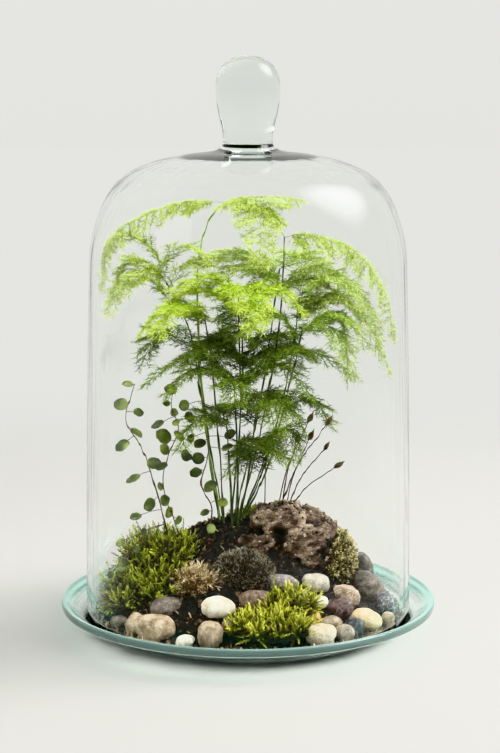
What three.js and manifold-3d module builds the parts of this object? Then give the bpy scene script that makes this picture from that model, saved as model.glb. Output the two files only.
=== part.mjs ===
// A glass bell with a solid knob stands on a shallow glass plate. Inside it a mound of potting soil
// carries a feathery fern, a small round-leaved vine, cushions of moss, a chunk of bark and pebbles.
// Millimetres, +Z up. The origin is the middle of the plate's foot, and +X is the photo's right.

import * as THREE from 'three';
import { mergeVertices } from 'three/addons/utils/BufferGeometryUtils.js';
import Module from 'manifold-3d';

const wasm = await Module();
wasm.setup();

// Driving sizes
const PLATE_RADIUS = 125;
const PLATE_HEIGHT = 22;
const PLATE_EDGE = 5.6;
const FOOT_RADIUS = 82;
const WELL_RADIUS = 84;
const WELL_FLOOR = 6;
const SEAT_HEIGHT = 14.5;
const SEAT_INNER = 102;
const SEAT_OUTER = 112;
const BELL_RADIUS = 108.2;
const BELL_WALL = 3;
const BELL_TOP = 319.3;
const KNOB_RADIUS = 21;
const TOTAL_HEIGHT = 380;
const CLEARANCE = 0.3;
const SOIL_RADIUS = 97;
const SOIL_EDGE = 13.5;
const SOIL_RISE = 58.5;
const BLADE = 0.7;
const STEM_RADIUS = 0.6;
const ROOM = 0.45;

// Number of sides of the round pieces
const PLATE_SIDES = 36;
const BELL_SIDES = 32;
const SOIL_SIDES = 28;

const part = new THREE.Group();
part.name = 'glass_plant_terrarium';

// A repeatable stream of numbers from 0 to 1.
function randomFrom(seed) {
  let state = seed;
  return () => {
    state = (state * 1664525 + 1013904223) % 4294967296;
    return state / 4294967296;
  };
}

// Turns a closed geometry into a solid whose faces point out.
function solid(geometry) {
  const bare = geometry.index ? geometry.toNonIndexed() : geometry.clone();
  bare.deleteAttribute('normal');
  bare.deleteAttribute('uv');
  const merged = mergeVertices(bare, 1e-4);
  const place = merged.attributes.position;
  const index = merged.index.array;
  const corners = [];
  let volume = 0;
  const a = new THREE.Vector3();
  const b = new THREE.Vector3();
  const c = new THREE.Vector3();
  for (let i = 0; i < index.length; i += 3) {
    const [p, q, r] = [index[i], index[i + 1], index[i + 2]];
    if (p === q || q === r || r === p) continue;
    corners.push(p, q, r);
    a.fromBufferAttribute(place, p);
    b.fromBufferAttribute(place, q);
    c.fromBufferAttribute(place, r);
    volume += a.dot(b.cross(c)) / 6;
  }
  if (volume < 0) {
    for (let i = 0; i < corners.length; i += 3) [corners[i], corners[i + 1]] = [corners[i + 1], corners[i]];
  }
  return new wasm.Manifold(new wasm.Mesh({
    numProp: 3,
    vertProperties: new Float32Array(place.array),
    triVerts: new Uint32Array(corners),
  }));
}

// Keeps the main body of a solid and drops loose scraps. Edges move by no more than the slack.
function mainBody(shape, slack = 0.03) {
  let best = null;
  for (const body of shape.simplify(slack).decompose()) {
    if (!best || body.volume() > best.volume()) best = body;
  }
  return best;
}

function addMesh(name, shape, colour, roughness = 0.8) {
  const raw = mainBody(shape).getMesh();
  const geometry = new THREE.BufferGeometry();
  geometry.setAttribute('position', new THREE.BufferAttribute(raw.vertProperties, 3));
  geometry.setIndex(new THREE.BufferAttribute(raw.triVerts, 1));
  geometry.computeVertexNormals();
  const material = new THREE.MeshStandardMaterial({ color: colour, roughness, metalness: 0 });
  const mesh = new THREE.Mesh(geometry, material);
  mesh.name = name;
  part.add(mesh);
  return mesh;
}

function addGlass(name, shape, colour) {
  const mesh = addMesh(name, shape, colour, 0.03);
  mesh.material.transparent = true;
  mesh.material.opacity = 0.35;
}

// Spins an outline of [radius, height] points round the Z axis.
function turned(outline, sides) {
  const geometry = new THREE.LatheGeometry(outline.map(([r, z]) => new THREE.Vector2(r, z)), sides);
  geometry.rotateX(Math.PI / 2);
  return solid(geometry);
}

function vector([x, y, z]) {
  return new THREE.Vector3(x, y, z);
}

// A stem or stalk of even thickness along hand-placed points.
function stalk(points, radius, sides, steps) {
  const section = new THREE.Shape();
  for (let i = 0; i < sides; i += 1) {
    const angle = (2 * Math.PI * i) / sides;
    section[i ? 'lineTo' : 'moveTo'](radius * Math.cos(angle), radius * Math.sin(angle));
  }
  section.closePath();
  const extrudePath = new THREE.CatmullRomCurve3(points.map(vector));
  return solid(new THREE.ExtrudeGeometry(section, { steps, extrudePath, bevelEnabled: false }));
}

// Soil surface: a dome that is longer from side to side than from front to back.
function soilHeight(x, y) {
  const far = Math.hypot(0.95 * (x + 4), y - 10) / 100;
  const dome = Math.max(0, 1 - far * far) ** 1.5;
  const crumb = 0.9 * Math.sin(0.21 * x + 1.3) * Math.cos(0.19 * y) + 0.6 * Math.sin(0.37 * (x - y));
  return SOIL_EDGE + SOIL_RISE * dome + crumb * Math.min(1, 3 * dome);
}

// A lumpy rounded body: half sizes along its own axes, a turn round Z, a lean round Y and a tilt
// round X. "grow" pushes its whole surface out, which makes the hollow that it lies in.
function lump({
  at, half, turn = 0, lean = 0, tilt = 0, bump = 0.06, block = 0, seed = 1, detail = 2, grow = 0,
}) {
  const geometry = new THREE.IcosahedronGeometry(1, detail);
  const place = geometry.attributes.position;
  const pose = new THREE.Matrix4().makeRotationFromEuler(new THREE.Euler(tilt, lean, turn, 'ZYX'));
  const p = new THREE.Vector3();
  for (let i = 0; i < place.count; i += 1) {
    p.fromBufferAttribute(place, i);
    const wave = Math.sin(2.3 * p.x + 1.7 * seed) * Math.cos(2.9 * p.y - seed)
      + 0.7 * Math.sin(3.7 * p.z + 2.1 * seed)
      + 0.5 * Math.sin(5.1 * p.x + 4.3 * p.y + 3.1 * seed);
    const corner = (Math.abs(p.x) ** 4 + Math.abs(p.y) ** 4 + Math.abs(p.z) ** 4) ** -0.25;
    const reach = (1 + bump * wave) * (1 + block * (corner - 1));
    p.multiplyScalar(reach);
    p.set(p.x * (half[0] + grow), p.y * (half[1] + grow), p.z * (half[2] + grow));
    p.applyMatrix4(pose);
    place.setXYZ(i, p.x + at[0], p.y + at[1], p.z + at[2]);
  }
  return solid(geometry);
}

// A pointed moss shoot that stands on a surface point and leans along a direction.
function shoot(root, direction, length, width) {
  const geometry = new THREE.ConeGeometry(width, length, 3, 1);
  geometry.translate(0, length / 2, 0);
  const turn = new THREE.Quaternion().setFromUnitVectors(new THREE.Vector3(0, 1, 0), direction);
  geometry.applyQuaternion(turn);
  geometry.translate(root.x, root.y, root.z);
  return solid(geometry);
}

// Shoots all over the upper side of a lump, each rooted well inside it.
function shoots(core, { count, length, width, seed, low = -0.15, rise = 0.5 }) {
  const draw = randomFrom(seed);
  const made = [];
  const golden = Math.PI * (3 - Math.sqrt(5));
  const pose = new THREE.Euler(core.tilt ?? 0, core.lean ?? 0, core.turn ?? 0, 'ZYX');
  for (let i = 0; i < count; i += 1) {
    const z = 1 - ((1 - low) * (i + 0.5)) / count;
    const ring = Math.sqrt(1 - z * z);
    const out = new THREE.Vector3(ring * Math.cos(i * golden), ring * Math.sin(i * golden), z);
    const root = out.clone().multiply(vector(core.half)).multiplyScalar(0.8).applyEuler(pose)
      .add(vector(core.at));
    const sideways = new THREE.Vector3(draw() - 0.5, draw() - 0.5, draw() * rise).multiplyScalar(0.9);
    const direction = out.clone().divide(vector(core.half)).normalize().applyEuler(pose)
      .add(sideways).normalize();
    const depth = 0.2 * Math.min(...core.half);
    made.push(shoot(root, direction, depth + length * (0.7 + 0.6 * draw()), width));
  }
  return made;
}

function joined(shapes) {
  return wasm.Manifold.union(shapes);
}

// Plate: an even, thick glass dish with a flat foot, a sloping well, a flat seat for the bell and a
// rounded rim that turns up.
const plate = turned([
  [0, 0], [FOOT_RADIUS, 0], [94, 3.3], [107, 10.2],
  [PLATE_RADIUS - 1.4, PLATE_HEIGHT - PLATE_EDGE - 0.2], [PLATE_RADIUS, PLATE_HEIGHT - PLATE_EDGE + 1.8],
  [PLATE_RADIUS, PLATE_HEIGHT - 1.6], [PLATE_RADIUS - 1.6, PLATE_HEIGHT],
  [SEAT_OUTER + 4, SEAT_HEIGHT + 2.6], [SEAT_OUTER, SEAT_HEIGHT], [SEAT_INNER, SEAT_HEIGHT],
  [96, 11.4], [89, 7.4], [WELL_RADIUS, WELL_FLOOR], [0, WELL_FLOOR],
], PLATE_SIDES);

// Bell: the inner outline down from the crown, the foot ring, then the outer outline up over the
// shoulder to the neck and the solid knob.
const BELL_FOOT = SEAT_HEIGHT + CLEARANCE;
const innerOutline = [
  [0, BELL_TOP - 5.4], [42, BELL_TOP - 6.4], [62, BELL_TOP - 11.6], [77.3, BELL_TOP - 18.8],
  [86.8, BELL_TOP - 27.6], [94.2, BELL_TOP - 42], [99.8, BELL_TOP - 62], [101.3, BELL_TOP - 89], [103.2, 160],
];
const outerOutline = [
  [BELL_RADIUS, BELL_FOOT], [106.2, 160], [104.4, 230], [102.9, 258], [97.3, 279], [89.8, 294],
  [79.9, 303.8], [63.3, 311.5], [42, 316.7], [KNOB_RADIUS, BELL_TOP],
];
const knobOutline = [
  [18.3, 321], [16.2, 325], [16.9, 334], [19.4, 344.4], [KNOB_RADIUS, 356], [20.2, 366.5], [15.6, 374.5],
  [8.4, 379], [0, TOTAL_HEIGHT],
];
const footInside = [BELL_RADIUS - BELL_WALL, BELL_FOOT];
const bell = turned([...innerOutline, footInside, ...outerOutline, ...knobOutline], BELL_SIDES);

// The free space in the bell, 0.8 mm clear of its glass: leaves and shoots are trimmed to it.
const AIR = 0.8;
const air = turned([
  ...innerOutline.map(([r, z]) => [Math.max(0, r - AIR), z - AIR]),
  [BELL_RADIUS - BELL_WALL - AIR, BELL_FOOT + AIR], [SEAT_INNER, BELL_FOOT + AIR],
  [95, 11.4 + AIR], [0, 11.4 + AIR],
], BELL_SIDES);

// Pebbles: middle from above, [wide, deep, tall], turn and lean in degrees, colour. Each lies in the
// soil with a good third of its height sunk, and "lift" raises one that leans on its neighbours.
const PEBBLES = [
  { name: 'pebble_white', x: -19.5, y: -65, size: [21.5, 15, 14], turn: -8, block: 0.5, lift: 0.5,
    colour: 0xd9d3c4 },
  { name: 'pebble_beige', x: -23.5, y: -84.5, size: [18, 14, 18], turn: 10, lift: 1.2, colour: 0xa8957c },
  { name: 'pebble_brown', x: 5, y: -60, size: [24, 15, 14], turn: 6, lift: -2, colour: 0x6b5648 },
  { name: 'pebble_mauve', x: 22.5, y: -45, size: [20, 13, 12], turn: -6, lift: -3, colour: 0x82747a },
  { name: 'pebble_pale_grey', x: 43, y: -37, size: [21.5, 14, 13], turn: -16, lift: -1, colour: 0xa9a197 },
  { name: 'pebble_straw', x: 35.5, y: -53, size: [12, 10, 11], turn: 20, colour: 0xb9ab72 },
  { name: 'pebble_white_small', x: 46, y: -50.5, size: [10, 8, 8], turn: 0, lift: 0.5, colour: 0xe0dcd4 },
  { name: 'pebble_quartz', x: 64, y: -33.5, size: [19.5, 13.5, 14], turn: -25, lean: 14, block: 0.6,
    lift: -0.5, colour: 0x8f7e6c },
  { name: 'pebble_maroon', x: 58.5, y: -49, size: [18, 12.5, 13], turn: -18, block: 0.4, lift: 1.6,
    colour: 0x4d3a40 },
  { name: 'pebble_tall_grey', x: 80.5, y: -13, size: [17, 16, 27], lean: -38, turn: -15, lift: 2,
    colour: 0x6f6358 },
  { name: 'pebble_dark_behind', x: 77.5, y: 13, size: [15, 16, 21], lean: -20, turn: 0, lift: 5,
    colour: 0x5a5550 },
  { name: 'pebble_glassy', x: 90, y: -28, size: [12.5, 13, 18], lean: 0, turn: 10, block: 0.5, lift: 4.4,
    colour: 0x4f5255 },
  { name: 'pebble_cream', x: 75.5, y: -52, size: [21, 13.5, 14], turn: -12, lean: 8, lift: 3.2,
    colour: 0xe0cfa2 },
  { name: 'pebble_sand', x: 90, y: -41.5, size: [8, 7, 8], turn: 20, lift: 2.8, colour: 0xa99579 },
  { name: 'pebble_tan', x: 53, y: -63.5, size: [13, 10.5, 11.5], turn: 0, lift: 0.4, colour: 0x8c7b69 },
  { name: 'pebble_slate', x: 67.5, y: -64.5, size: [9, 14, 13], turn: 35, lean: 30, block: 0.7, lift: 2,
    colour: 0x454c55 },
  { name: 'pebble_tan_front', x: 61, y: -74, size: [13, 9, 10], turn: -12, lift: 2.1, colour: 0x8d8071 },
  { name: 'pebble_ivory', x: 45.5, y: -78.5, size: [19, 12.5, 14], turn: 14, block: 0.6, lift: 1.1,
    colour: 0xcdbda2 },
  { name: 'pebble_amber', x: 42.5, y: -64, size: [8, 8, 11], turn: 0, lift: 0.6, colour: 0xc0a468 },
  { name: 'pebble_flat_brown', x: -10.5, y: -76, size: [12, 8.5, 8], turn: -10, lift: 0.6, colour: 0x75604d },
  { name: 'pebble_grey_brown', x: -52, y: -52, size: [23, 15, 15], turn: 12, lift: -4, colour: 0x6c5f58 },
  { name: 'pebble_white_tiny', x: -39, y: -84, size: [11, 8, 8], turn: 0, lift: 0.8, colour: 0xe3ded3 },
  { name: 'pebble_flat_left', x: -83, y: -47, size: [12, 8, 7], turn: -30, lift: 0.6, colour: 0x7d6c5c },
];
const BEAN = {
  name: 'pebble_bean', x: -58.5, y: -69.5, size: [27, 15, 18], turn: -18, lift: 0.6, colour: 0xc3ae90,
};
const PEBBLE_SINK = 0.2;
const LARGE_PEBBLE = 25;

function pebbleForm(pebble, seed, grow) {
  const [wide, deep, tall] = pebble.size;
  const z = soilHeight(pebble.x, pebble.y) + PEBBLE_SINK * tall + (pebble.lift ?? 0);
  return lump({
    at: [pebble.x, pebble.y, z],
    half: [wide / 2, deep / 2, tall / 2],
    turn: THREE.MathUtils.degToRad(pebble.turn ?? 0),
    lean: THREE.MathUtils.degToRad(pebble.lean ?? 0),
    bump: 0.045,
    block: pebble.block ?? 0.15,
    seed,
    detail: wide > LARGE_PEBBLE ? 2 : 1,
    grow,
  });
}

// The bean-shaped stone is two rounded lobes grown together.
function beanForm(grow) {
  const body = pebbleForm(BEAN, 3, grow);
  const lobe = {
    x: BEAN.x - 13.5, y: BEAN.y + 7.5, size: [11, 11, 15], turn: 0, lean: 20, lift: BEAN.lift + 2.4,
  };
  return body.add(pebbleForm(lobe, 5, grow));
}

// A stone that leans on others is cut back a hair where it would touch the ones before it.
const STONES = [...PEBBLES.map((pebble, i) => ({ ...pebble, form: (grow) => pebbleForm(pebble, i + 1, grow) })),
  { ...BEAN, form: beanForm }];
const pebbles = [];
let pebbleSeats = STONES[0].form(ROOM);
for (const stone of STONES) {
  const shape = pebbles.length ? stone.form(0).subtract(pebbleSeats) : stone.form(0);
  pebbles.push({ ...stone, shape: mainBody(shape) });
  pebbleSeats = pebbleSeats.add(stone.form(ROOM));
}

// Bark: a rough wedge of rotten wood, with grain ridges that run down its face and a hollow below.
const BARK = { at: [34, -3, 57], half: [29, 22, 27] };
const BARK_SPUR = {
  at: [8, -23, 62], half: [14, 8, 7], turn: -0.25, lean: 0.3, bump: 0.12, seed: 12, detail: 1,
};
function barkForm(grow) {
  const geometry = new THREE.IcosahedronGeometry(1, 3);
  const place = geometry.attributes.position;
  const p = new THREE.Vector3();
  for (let i = 0; i < place.count; i += 1) {
    p.fromBufferAttribute(place, i);
    const around = Math.atan2(p.y, p.x);
    const corner = (Math.abs(p.x) ** 5 + Math.abs(p.y) ** 5 + Math.abs(p.z) ** 5) ** -0.2;
    const grain = 0.055 * Math.sin(9 * around + 3 * p.z)
      + 0.05 * Math.sin(7 * p.x + 5 * p.z) * Math.cos(6 * p.y);
    const hollow = 0.3 * Math.exp(-((p.x + 0.2) ** 2 + (p.z + 0.55) ** 2) / 0.07) * (p.y < 0 ? 1 : 0);
    p.multiplyScalar((1 + 0.6 * (corner - 1)) * (1 + grain - hollow));
    // The top leans to the left and falls away to the right.
    const up = (p.z + 1) / 2;
    p.x -= 0.16 * up;
    p.z *= 1 - 0.26 * (p.x + 0.3) * up;
    p.set(p.x * (BARK.half[0] + grow), p.y * (BARK.half[1] + grow), p.z * (BARK.half[2] + grow));
    place.setXYZ(i, p.x + BARK.at[0], p.y + BARK.at[1], p.z + BARK.at[2]);
  }
  return solid(geometry).add(lump({ ...BARK_SPUR, grow }));
}
const bark = barkForm(0);

// Fern: every stem rises from the crown and ends in one or two flat sprays. A spray is one thin
// arched blade, cut to the rib into branchlets that grow shorter towards its tip.
const LIME = 0x9cc41e;
const LEAF = 0x5f9326;
const DARK = 0x2f5a25;
const ROOT_DEPTH = 9;
const HOLE_RADIUS = 1.4;
const COLLAR = 4;
const FERNS = [
  { name: 'fern_top_left', colour: LIME,
    stem: [[-19, 11], [-30, 9, 150], [-33.5, 8, 236], [-26, 7, 272], [-15, 5, 287]],
    sprays: [{
      rib: [[-15, 5, 287], [-28, 3, 293], [-52, -1, 287], [-74, -5, 275], [-90, -7, 256], [-94, -8, 236]],
      reach: 24,
    }] },
  { name: 'fern_twin', colour: LIME, stem: [[-6, 12], [8, 8, 130], [20, 5, 200], [24, 5, 264]],
    sprays: [
      {
        rib: [[24, 5, 263], [16, 0, 281], [2, -8, 291], [-10, -17, 290], [-20, -28, 282]],
        reach: 27, droop: 0.016,
      },
      {
        rib: [[24, 5, 263], [40, 3, 268], [64, -1, 261], [83, -5, 238], [93, -8, 204]],
        reach: 24, droop: 0.014,
      },
    ] },
  { name: 'fern_left', colour: LIME, stem: [[-20.5, 16], [-27, 15, 120], [-38, 14, 195], [-54, 13, 232]],
    sprays: [{ rib: [[-54, 13, 232], [-68, 12, 246], [-82, 11, 244], [-92, 9, 222]], reach: 25 }] },
  { name: 'fern_front_left', colour: LIME, stem: [[-16, 6], [-19, 0, 120], [-24, -4, 180], [-28, -8, 212]],
    sprays: [{ rib: [[-28, -8, 212], [-40, -24, 222], [-54, -42, 220], [-63, -58, 204]], reach: 28 }] },
  { name: 'fern_front', colour: LIME, stem: [[-9, 3], [-5, -3, 140], [-6, -8, 226]],
    sprays: [{ rib: [[-6, -8, 225], [-4, -26, 234], [0, -50, 231], [5, -74, 212]], reach: 28 }] },
  { name: 'fern_back_right', colour: LEAF, stem: [[-8, 21], [8, 22, 150], [21, 27, 240]],
    sprays: [{ rib: [[21, 27, 239], [32, 44, 247], [44, 62, 241], [51, 78, 220]], reach: 27 }] },
  { name: 'fern_right', colour: LEAF, stem: [[-3, 17], [12, 14, 110], [28, 13, 175], [34, 12, 222]],
    sprays: [{
      rib: [[34, 12, 221], [50, 16, 236], [70, 21, 228], [85, 26, 202], [90, 28, 176]], reach: 25, droop: 0.012,
    }] },
  { name: 'fern_front_right', colour: LEAF, stem: [[-2, 8], [14, 1, 112], [30, -6, 178], [35, -8, 202]],
    sprays: [{ rib: [[35, -8, 201], [50, -22, 209], [66, -38, 199], [76, -50, 174]], reach: 25 }] },
  { name: 'fern_middle', colour: DARK, stem: [[-7, -2], [-7, -9, 110], [-8.5, -16, 168]],
    sprays: [
      { rib: [[-8.5, -16, 167], [-22, -22, 179], [-39, -29, 179], [-53, -38, 163]], reach: 21, droop: 0.013 },
      { rib: [[-8.5, -16, 167], [7, -19, 181], [25, -24, 180], [42, -33, 162]], reach: 19, droop: 0.013 },
    ] },
  { name: 'fern_back_left', colour: DARK, stem: [[-17, 21], [-26, 26, 120], [-35, 32, 184]],
    sprays: [{ rib: [[-35, 32, 183], [-52, 42, 193], [-66, 54, 187], [-74, 62, 168]], reach: 26 }] },
  { name: 'fern_back', colour: DARK, stem: [[-12, 26], [-5, 30, 140], [-4, 35, 198]],
    sprays: [{ rib: [[-4, 35, 197], [-7, 52, 207], [-11, 72, 200], [-13, 88, 180]], reach: 27 }] },
  { name: 'fern_low_front', colour: DARK, stem: [[-5, 5], [1, -3, 110], [6, -8, 156]],
    sprays: [{ rib: [[6, -8, 155], [11, -24, 165], [18, -46, 160], [24, -62, 142]], reach: 27 }] },
  { name: 'fern_low_left', colour: DARK, stem: [[-11, -2], [-12, -10, 110], [-14, -15, 142]],
    sprays: [{ rib: [[-14, -15, 141], [-26, -28, 151], [-40, -42, 147], [-50, -54, 130]], reach: 25 }] },
  { name: 'fern_low_right', colour: DARK, stem: [[-3, 24], [10, 27, 105], [22, 30, 142]],
    sprays: [{ rib: [[22, 30, 141], [38, 41, 152], [56, 52, 145], [68, 60, 126]], reach: 26 }] },
];
const BRANCHLETS = 10;
const BRANCHLET_WIDTH = 1.5;
const BRANCHLET_LEAN = THREE.MathUtils.degToRad(56);
const RIB_HALF = 0.75;
const RIB_END = 5;

// A spray laid flat: its points as [along, across], its edge, and the triangles that fill it. The
// rib is a strip of short triangles between its two edges, and each branchlet is one pointed triangle.
function flatSpray(length, reach, grow) {
  const rib = RIB_HALF + grow;
  const width = BRANCHLET_WIDTH + 2 * grow;
  const pitch = length / (BRANCHLETS / 2 + 0.6);
  const points = [];
  const triangles = [];
  const [right, left] = [-1, 1].map((sign) => {
    const start = points.push([-grow, sign * rib]) - 1;
    const ribEdge = [start];
    const edge = [start];
    for (let i = 0; i < BRANCHLETS / 2; i += 1) {
      const root = pitch * (i + 0.25 + (sign > 0 ? 0.5 : 0));
      const taper = 1 - 0.78 * (root / length) ** 1.3;
      const long = reach * taper * (i === 0 ? 0.75 : 1) + grow;
      const far = [long * Math.cos(BRANCHLET_LEAN), long * Math.sin(BRANCHLET_LEAN)];
      const a = points.push([root, sign * rib]) - 1;
      const b = points.push([root + width / 2 + far[0], sign * (rib + far[1])]) - 1;
      const c = points.push([root + width, sign * rib]) - 1;
      triangles.push(sign < 0 ? [a, b, c] : [c, b, a]);
      ribEdge.push(a, c);
      edge.push(a, b, c);
    }
    return { ribEdge, edge };
  });
  const tip = points.push([length + RIB_END + grow, 0]) - 1;
  const low = [...right.ribEdge, tip];
  const high = [...left.ribEdge, tip];
  let i = 0;
  let j = 0;
  while (low[i + 1] !== tip || high[j + 1] !== tip) {
    if (points[low[i + 1]][0] <= points[high[j + 1]][0]) {
      triangles.push([low[i], low[i + 1], high[j]]);
      i += 1;
    } else {
      triangles.push([low[i], high[j + 1], high[j]]);
      j += 1;
    }
  }
  triangles.push([low[i], tip, high[j]]);
  return { points, triangles, edge: [...right.edge, tip, ...left.edge.reverse()] };
}

// The flat spray, given its thickness and bent onto the rib's arch, with its sides drooping.
function spray({ rib, reach, droop = 0.009 }, grow) {
  const curve = new THREE.CatmullRomCurve3(rib.map(vector));
  const length = curve.getLength();
  const flat = flatSpray(length, reach, grow);
  const start = curve.getPointAt(0);
  const heading = curve.getPointAt(1).sub(start).setZ(0).normalize();
  const across = new THREE.Vector3(-heading.y, heading.x, 0);
  const bent = (depth) => flat.points.flatMap(([s, t]) => {
    const inside = THREE.MathUtils.clamp(s / length, 0, 1);
    const tangent = curve.getTangentAt(inside);
    const normal = across.clone().cross(tangent).normalize().negate()
      .addScaledVector(across, 2 * droop * t).normalize();
    const point = curve.getPointAt(inside)
      .addScaledVector(tangent, s - inside * length)
      .addScaledVector(across, t)
      .addScaledVector(normal, depth);
    point.z -= droop * t * t;
    return point.toArray();
  });
  const half = BLADE / 2 + grow;
  const count = flat.points.length;
  const index = flat.triangles.flatMap(([a, b, c]) => [a, c, b, a + count, b + count, c + count]);
  flat.edge.forEach((a, i) => {
    const b = flat.edge[(i + 1) % flat.edge.length];
    index.push(a, b, b + count, a, b + count, a + count);
  });
  const geometry = new THREE.BufferGeometry();
  geometry.setAttribute('position', new THREE.Float32BufferAttribute([...bent(-half), ...bent(half)], 3));
  geometry.setIndex(index);
  return solid(geometry);
}

// Points of a stem from just above the soil.
function stemPoints([[x, y], ...above]) {
  return [[x, y, soilHeight(x, y) + COLLAR / 2], ...above];
}

// A stem with its foot, which goes straight down into the soil, so that its hole is a plain one.
function rootedStem(points, radius) {
  const [x, y] = points[0];
  const ground = soilHeight(x, y);
  const foot = stalk([[x, y, ground - ROOT_DEPTH], [x, y, ground + COLLAR]], radius + 0.1, 4, 1);
  return foot.add(stalk(stemPoints(points), radius, 4, 6));
}

// The plain hole in the soil that a stem's foot stands in.
function hole([x, y]) {
  const ground = soilHeight(x, y);
  const bottom = [x, y, ground - ROOT_DEPTH - CLEARANCE];
  return stalk([bottom, [x, y, ground + 2 * COLLAR]], HOLE_RADIUS, 4, 1);
}

// Vine: thin wiry stems with round leaves on short stalks, turned all ways.
const VINES = [
  { name: 'vine_left', spacing: 13, seed: 4,
    stem: [[-50, -14], [-60, -21, 98], [-65, -23, 116], [-70, -24, 129], [-79, -25, 147], [-73, -24, 170]] },
  { name: 'vine_middle', spacing: 11.5, seed: 11,
    stem: [[-44, -6], [-56, -10, 98], [-53, -13, 118], [-46, -14, 138], [-50, -14, 154], [-47, -14, 167]] },
  { name: 'vine_right', spacing: 13, seed: 23,
    stem: [[-26, -7], [-24, -8, 84], [-31, -10, 100], [-27, -10, 118], [-26, -12, 133], [-33, -14, 170]] },
];
const VINE_LEAF = 4.6;
const VINE_RADIUS = 0.55;

function leaf(root, outward, size, stalkLength, grow, draw) {
  const outline = [[0, -0.2 - grow]];
  const points = 6;
  for (let i = 1; i < points; i += 1) {
    const angle = Math.PI - (2 * Math.PI * i) / points;
    outline.push([
      stalkLength + size * (1 + Math.cos(angle)) + grow * Math.cos(angle),
      -(size * 0.92 + grow) * Math.sin(angle),
    ]);
  }
  outline.push([0, 0.2 + grow]);
  const shape = new THREE.Shape(outline.map(([s, t]) => new THREE.Vector2(s, t)));
  const thick = BLADE + 2 * grow;
  const geometry = new THREE.ExtrudeGeometry(shape, { depth: thick, bevelEnabled: false, steps: 1 });
  geometry.translate(0, 0, -thick / 2);
  const face = new THREE.Vector3(draw() - 0.5, -0.9, draw() - 0.2).normalize();
  const across = face.clone().cross(outward).normalize();
  const frame = new THREE.Matrix4().makeBasis(outward, across, outward.clone().cross(across));
  frame.setPosition(root);
  geometry.applyMatrix4(frame);
  return solid(geometry);
}

function vineLeaves(vine, grow) {
  const draw = randomFrom(vine.seed);
  const curve = new THREE.CatmullRomCurve3(stemPoints(vine.stem).map(vector));
  const length = curve.getLength();
  const leaves = [];
  let side = 1;
  for (let s = vine.first ?? 15; s < length; s += vine.spacing * (0.75 + 0.5 * draw())) {
    const inside = s / length;
    const tangent = curve.getTangentAt(inside);
    const outward = new THREE.Vector3(side, 0.5 * (draw() - 0.5), 0).cross(tangent).cross(tangent).negate()
      .normalize().addScaledVector(tangent, 0.35 + 0.3 * draw()).normalize();
    const size = VINE_LEAF * (0.7 + 0.45 * draw());
    leaves.push(leaf(curve.getPointAt(inside), outward, size, 2 + 2.5 * draw(), grow, draw));
    side = -side;
  }
  const up = new THREE.Vector3(0.3, 0, 1).normalize();
  leaves.push(leaf(curve.getPointAt(1), up, VINE_LEAF * 0.6, 1, grow, draw));
  return leaves;
}

// The dark runner creeps down the moss at the left.
VINES.push({ name: 'vine_runner', spacing: 24, seed: 7, first: 6,
  stem: [[-61, -17], [-67, -24, 67], [-78, -31, 59], [-89, -36, 45], [-94, -37, 30]] });

// Spore stalks: reddish and thin, each with a pointed capsule, grown from one small tuft.
const TUFT = { at: [24, 29, 69], half: [9, 7, 9], bump: 0.1, seed: 8, detail: 1 };
const CAPSULES = [
  [40.5, 12, 138], [53, 18, 135], [32.5, 10, 125], [41.5, 22, 124], [51, 8, 120], [59, 16, 106],
];
const CAPSULE = [[0, -1], [1.9, 2.2], [0, 8]];
const CAPSULE_ROOM = [5, 5, 8];
const STALK_RADIUS = 0.45;

function sporeStalks() {
  const pieces = [lump(TUFT)];
  CAPSULES.forEach(([x, y, z], i) => {
    const foot = [TUFT.at[0] - 4 + 1.6 * i, TUFT.at[1] - 1.5 + 1.5 * (i % 3), TUFT.at[2] + 3];
    const knee = [
      foot[0] + 0.35 * (x - foot[0]), foot[1] + 0.3 * (y - foot[1]), foot[2] + 0.5 * (z - foot[2]),
    ];
    const tip = new THREE.Vector3(x, y, z);
    const lean = tip.clone().sub(vector(knee)).normalize();
    pieces.push(stalk([foot, knee, [x, y, z]], STALK_RADIUS, 3, 4));
    const geometry = new THREE.LatheGeometry(CAPSULE.map(([r, h]) => new THREE.Vector2(r, h)), 5);
    geometry.applyQuaternion(new THREE.Quaternion().setFromUnitVectors(new THREE.Vector3(0, 1, 0), lean));
    geometry.translate(x, y, z);
    pieces.push(solid(geometry));
  });
  return joined(pieces);
}

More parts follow.
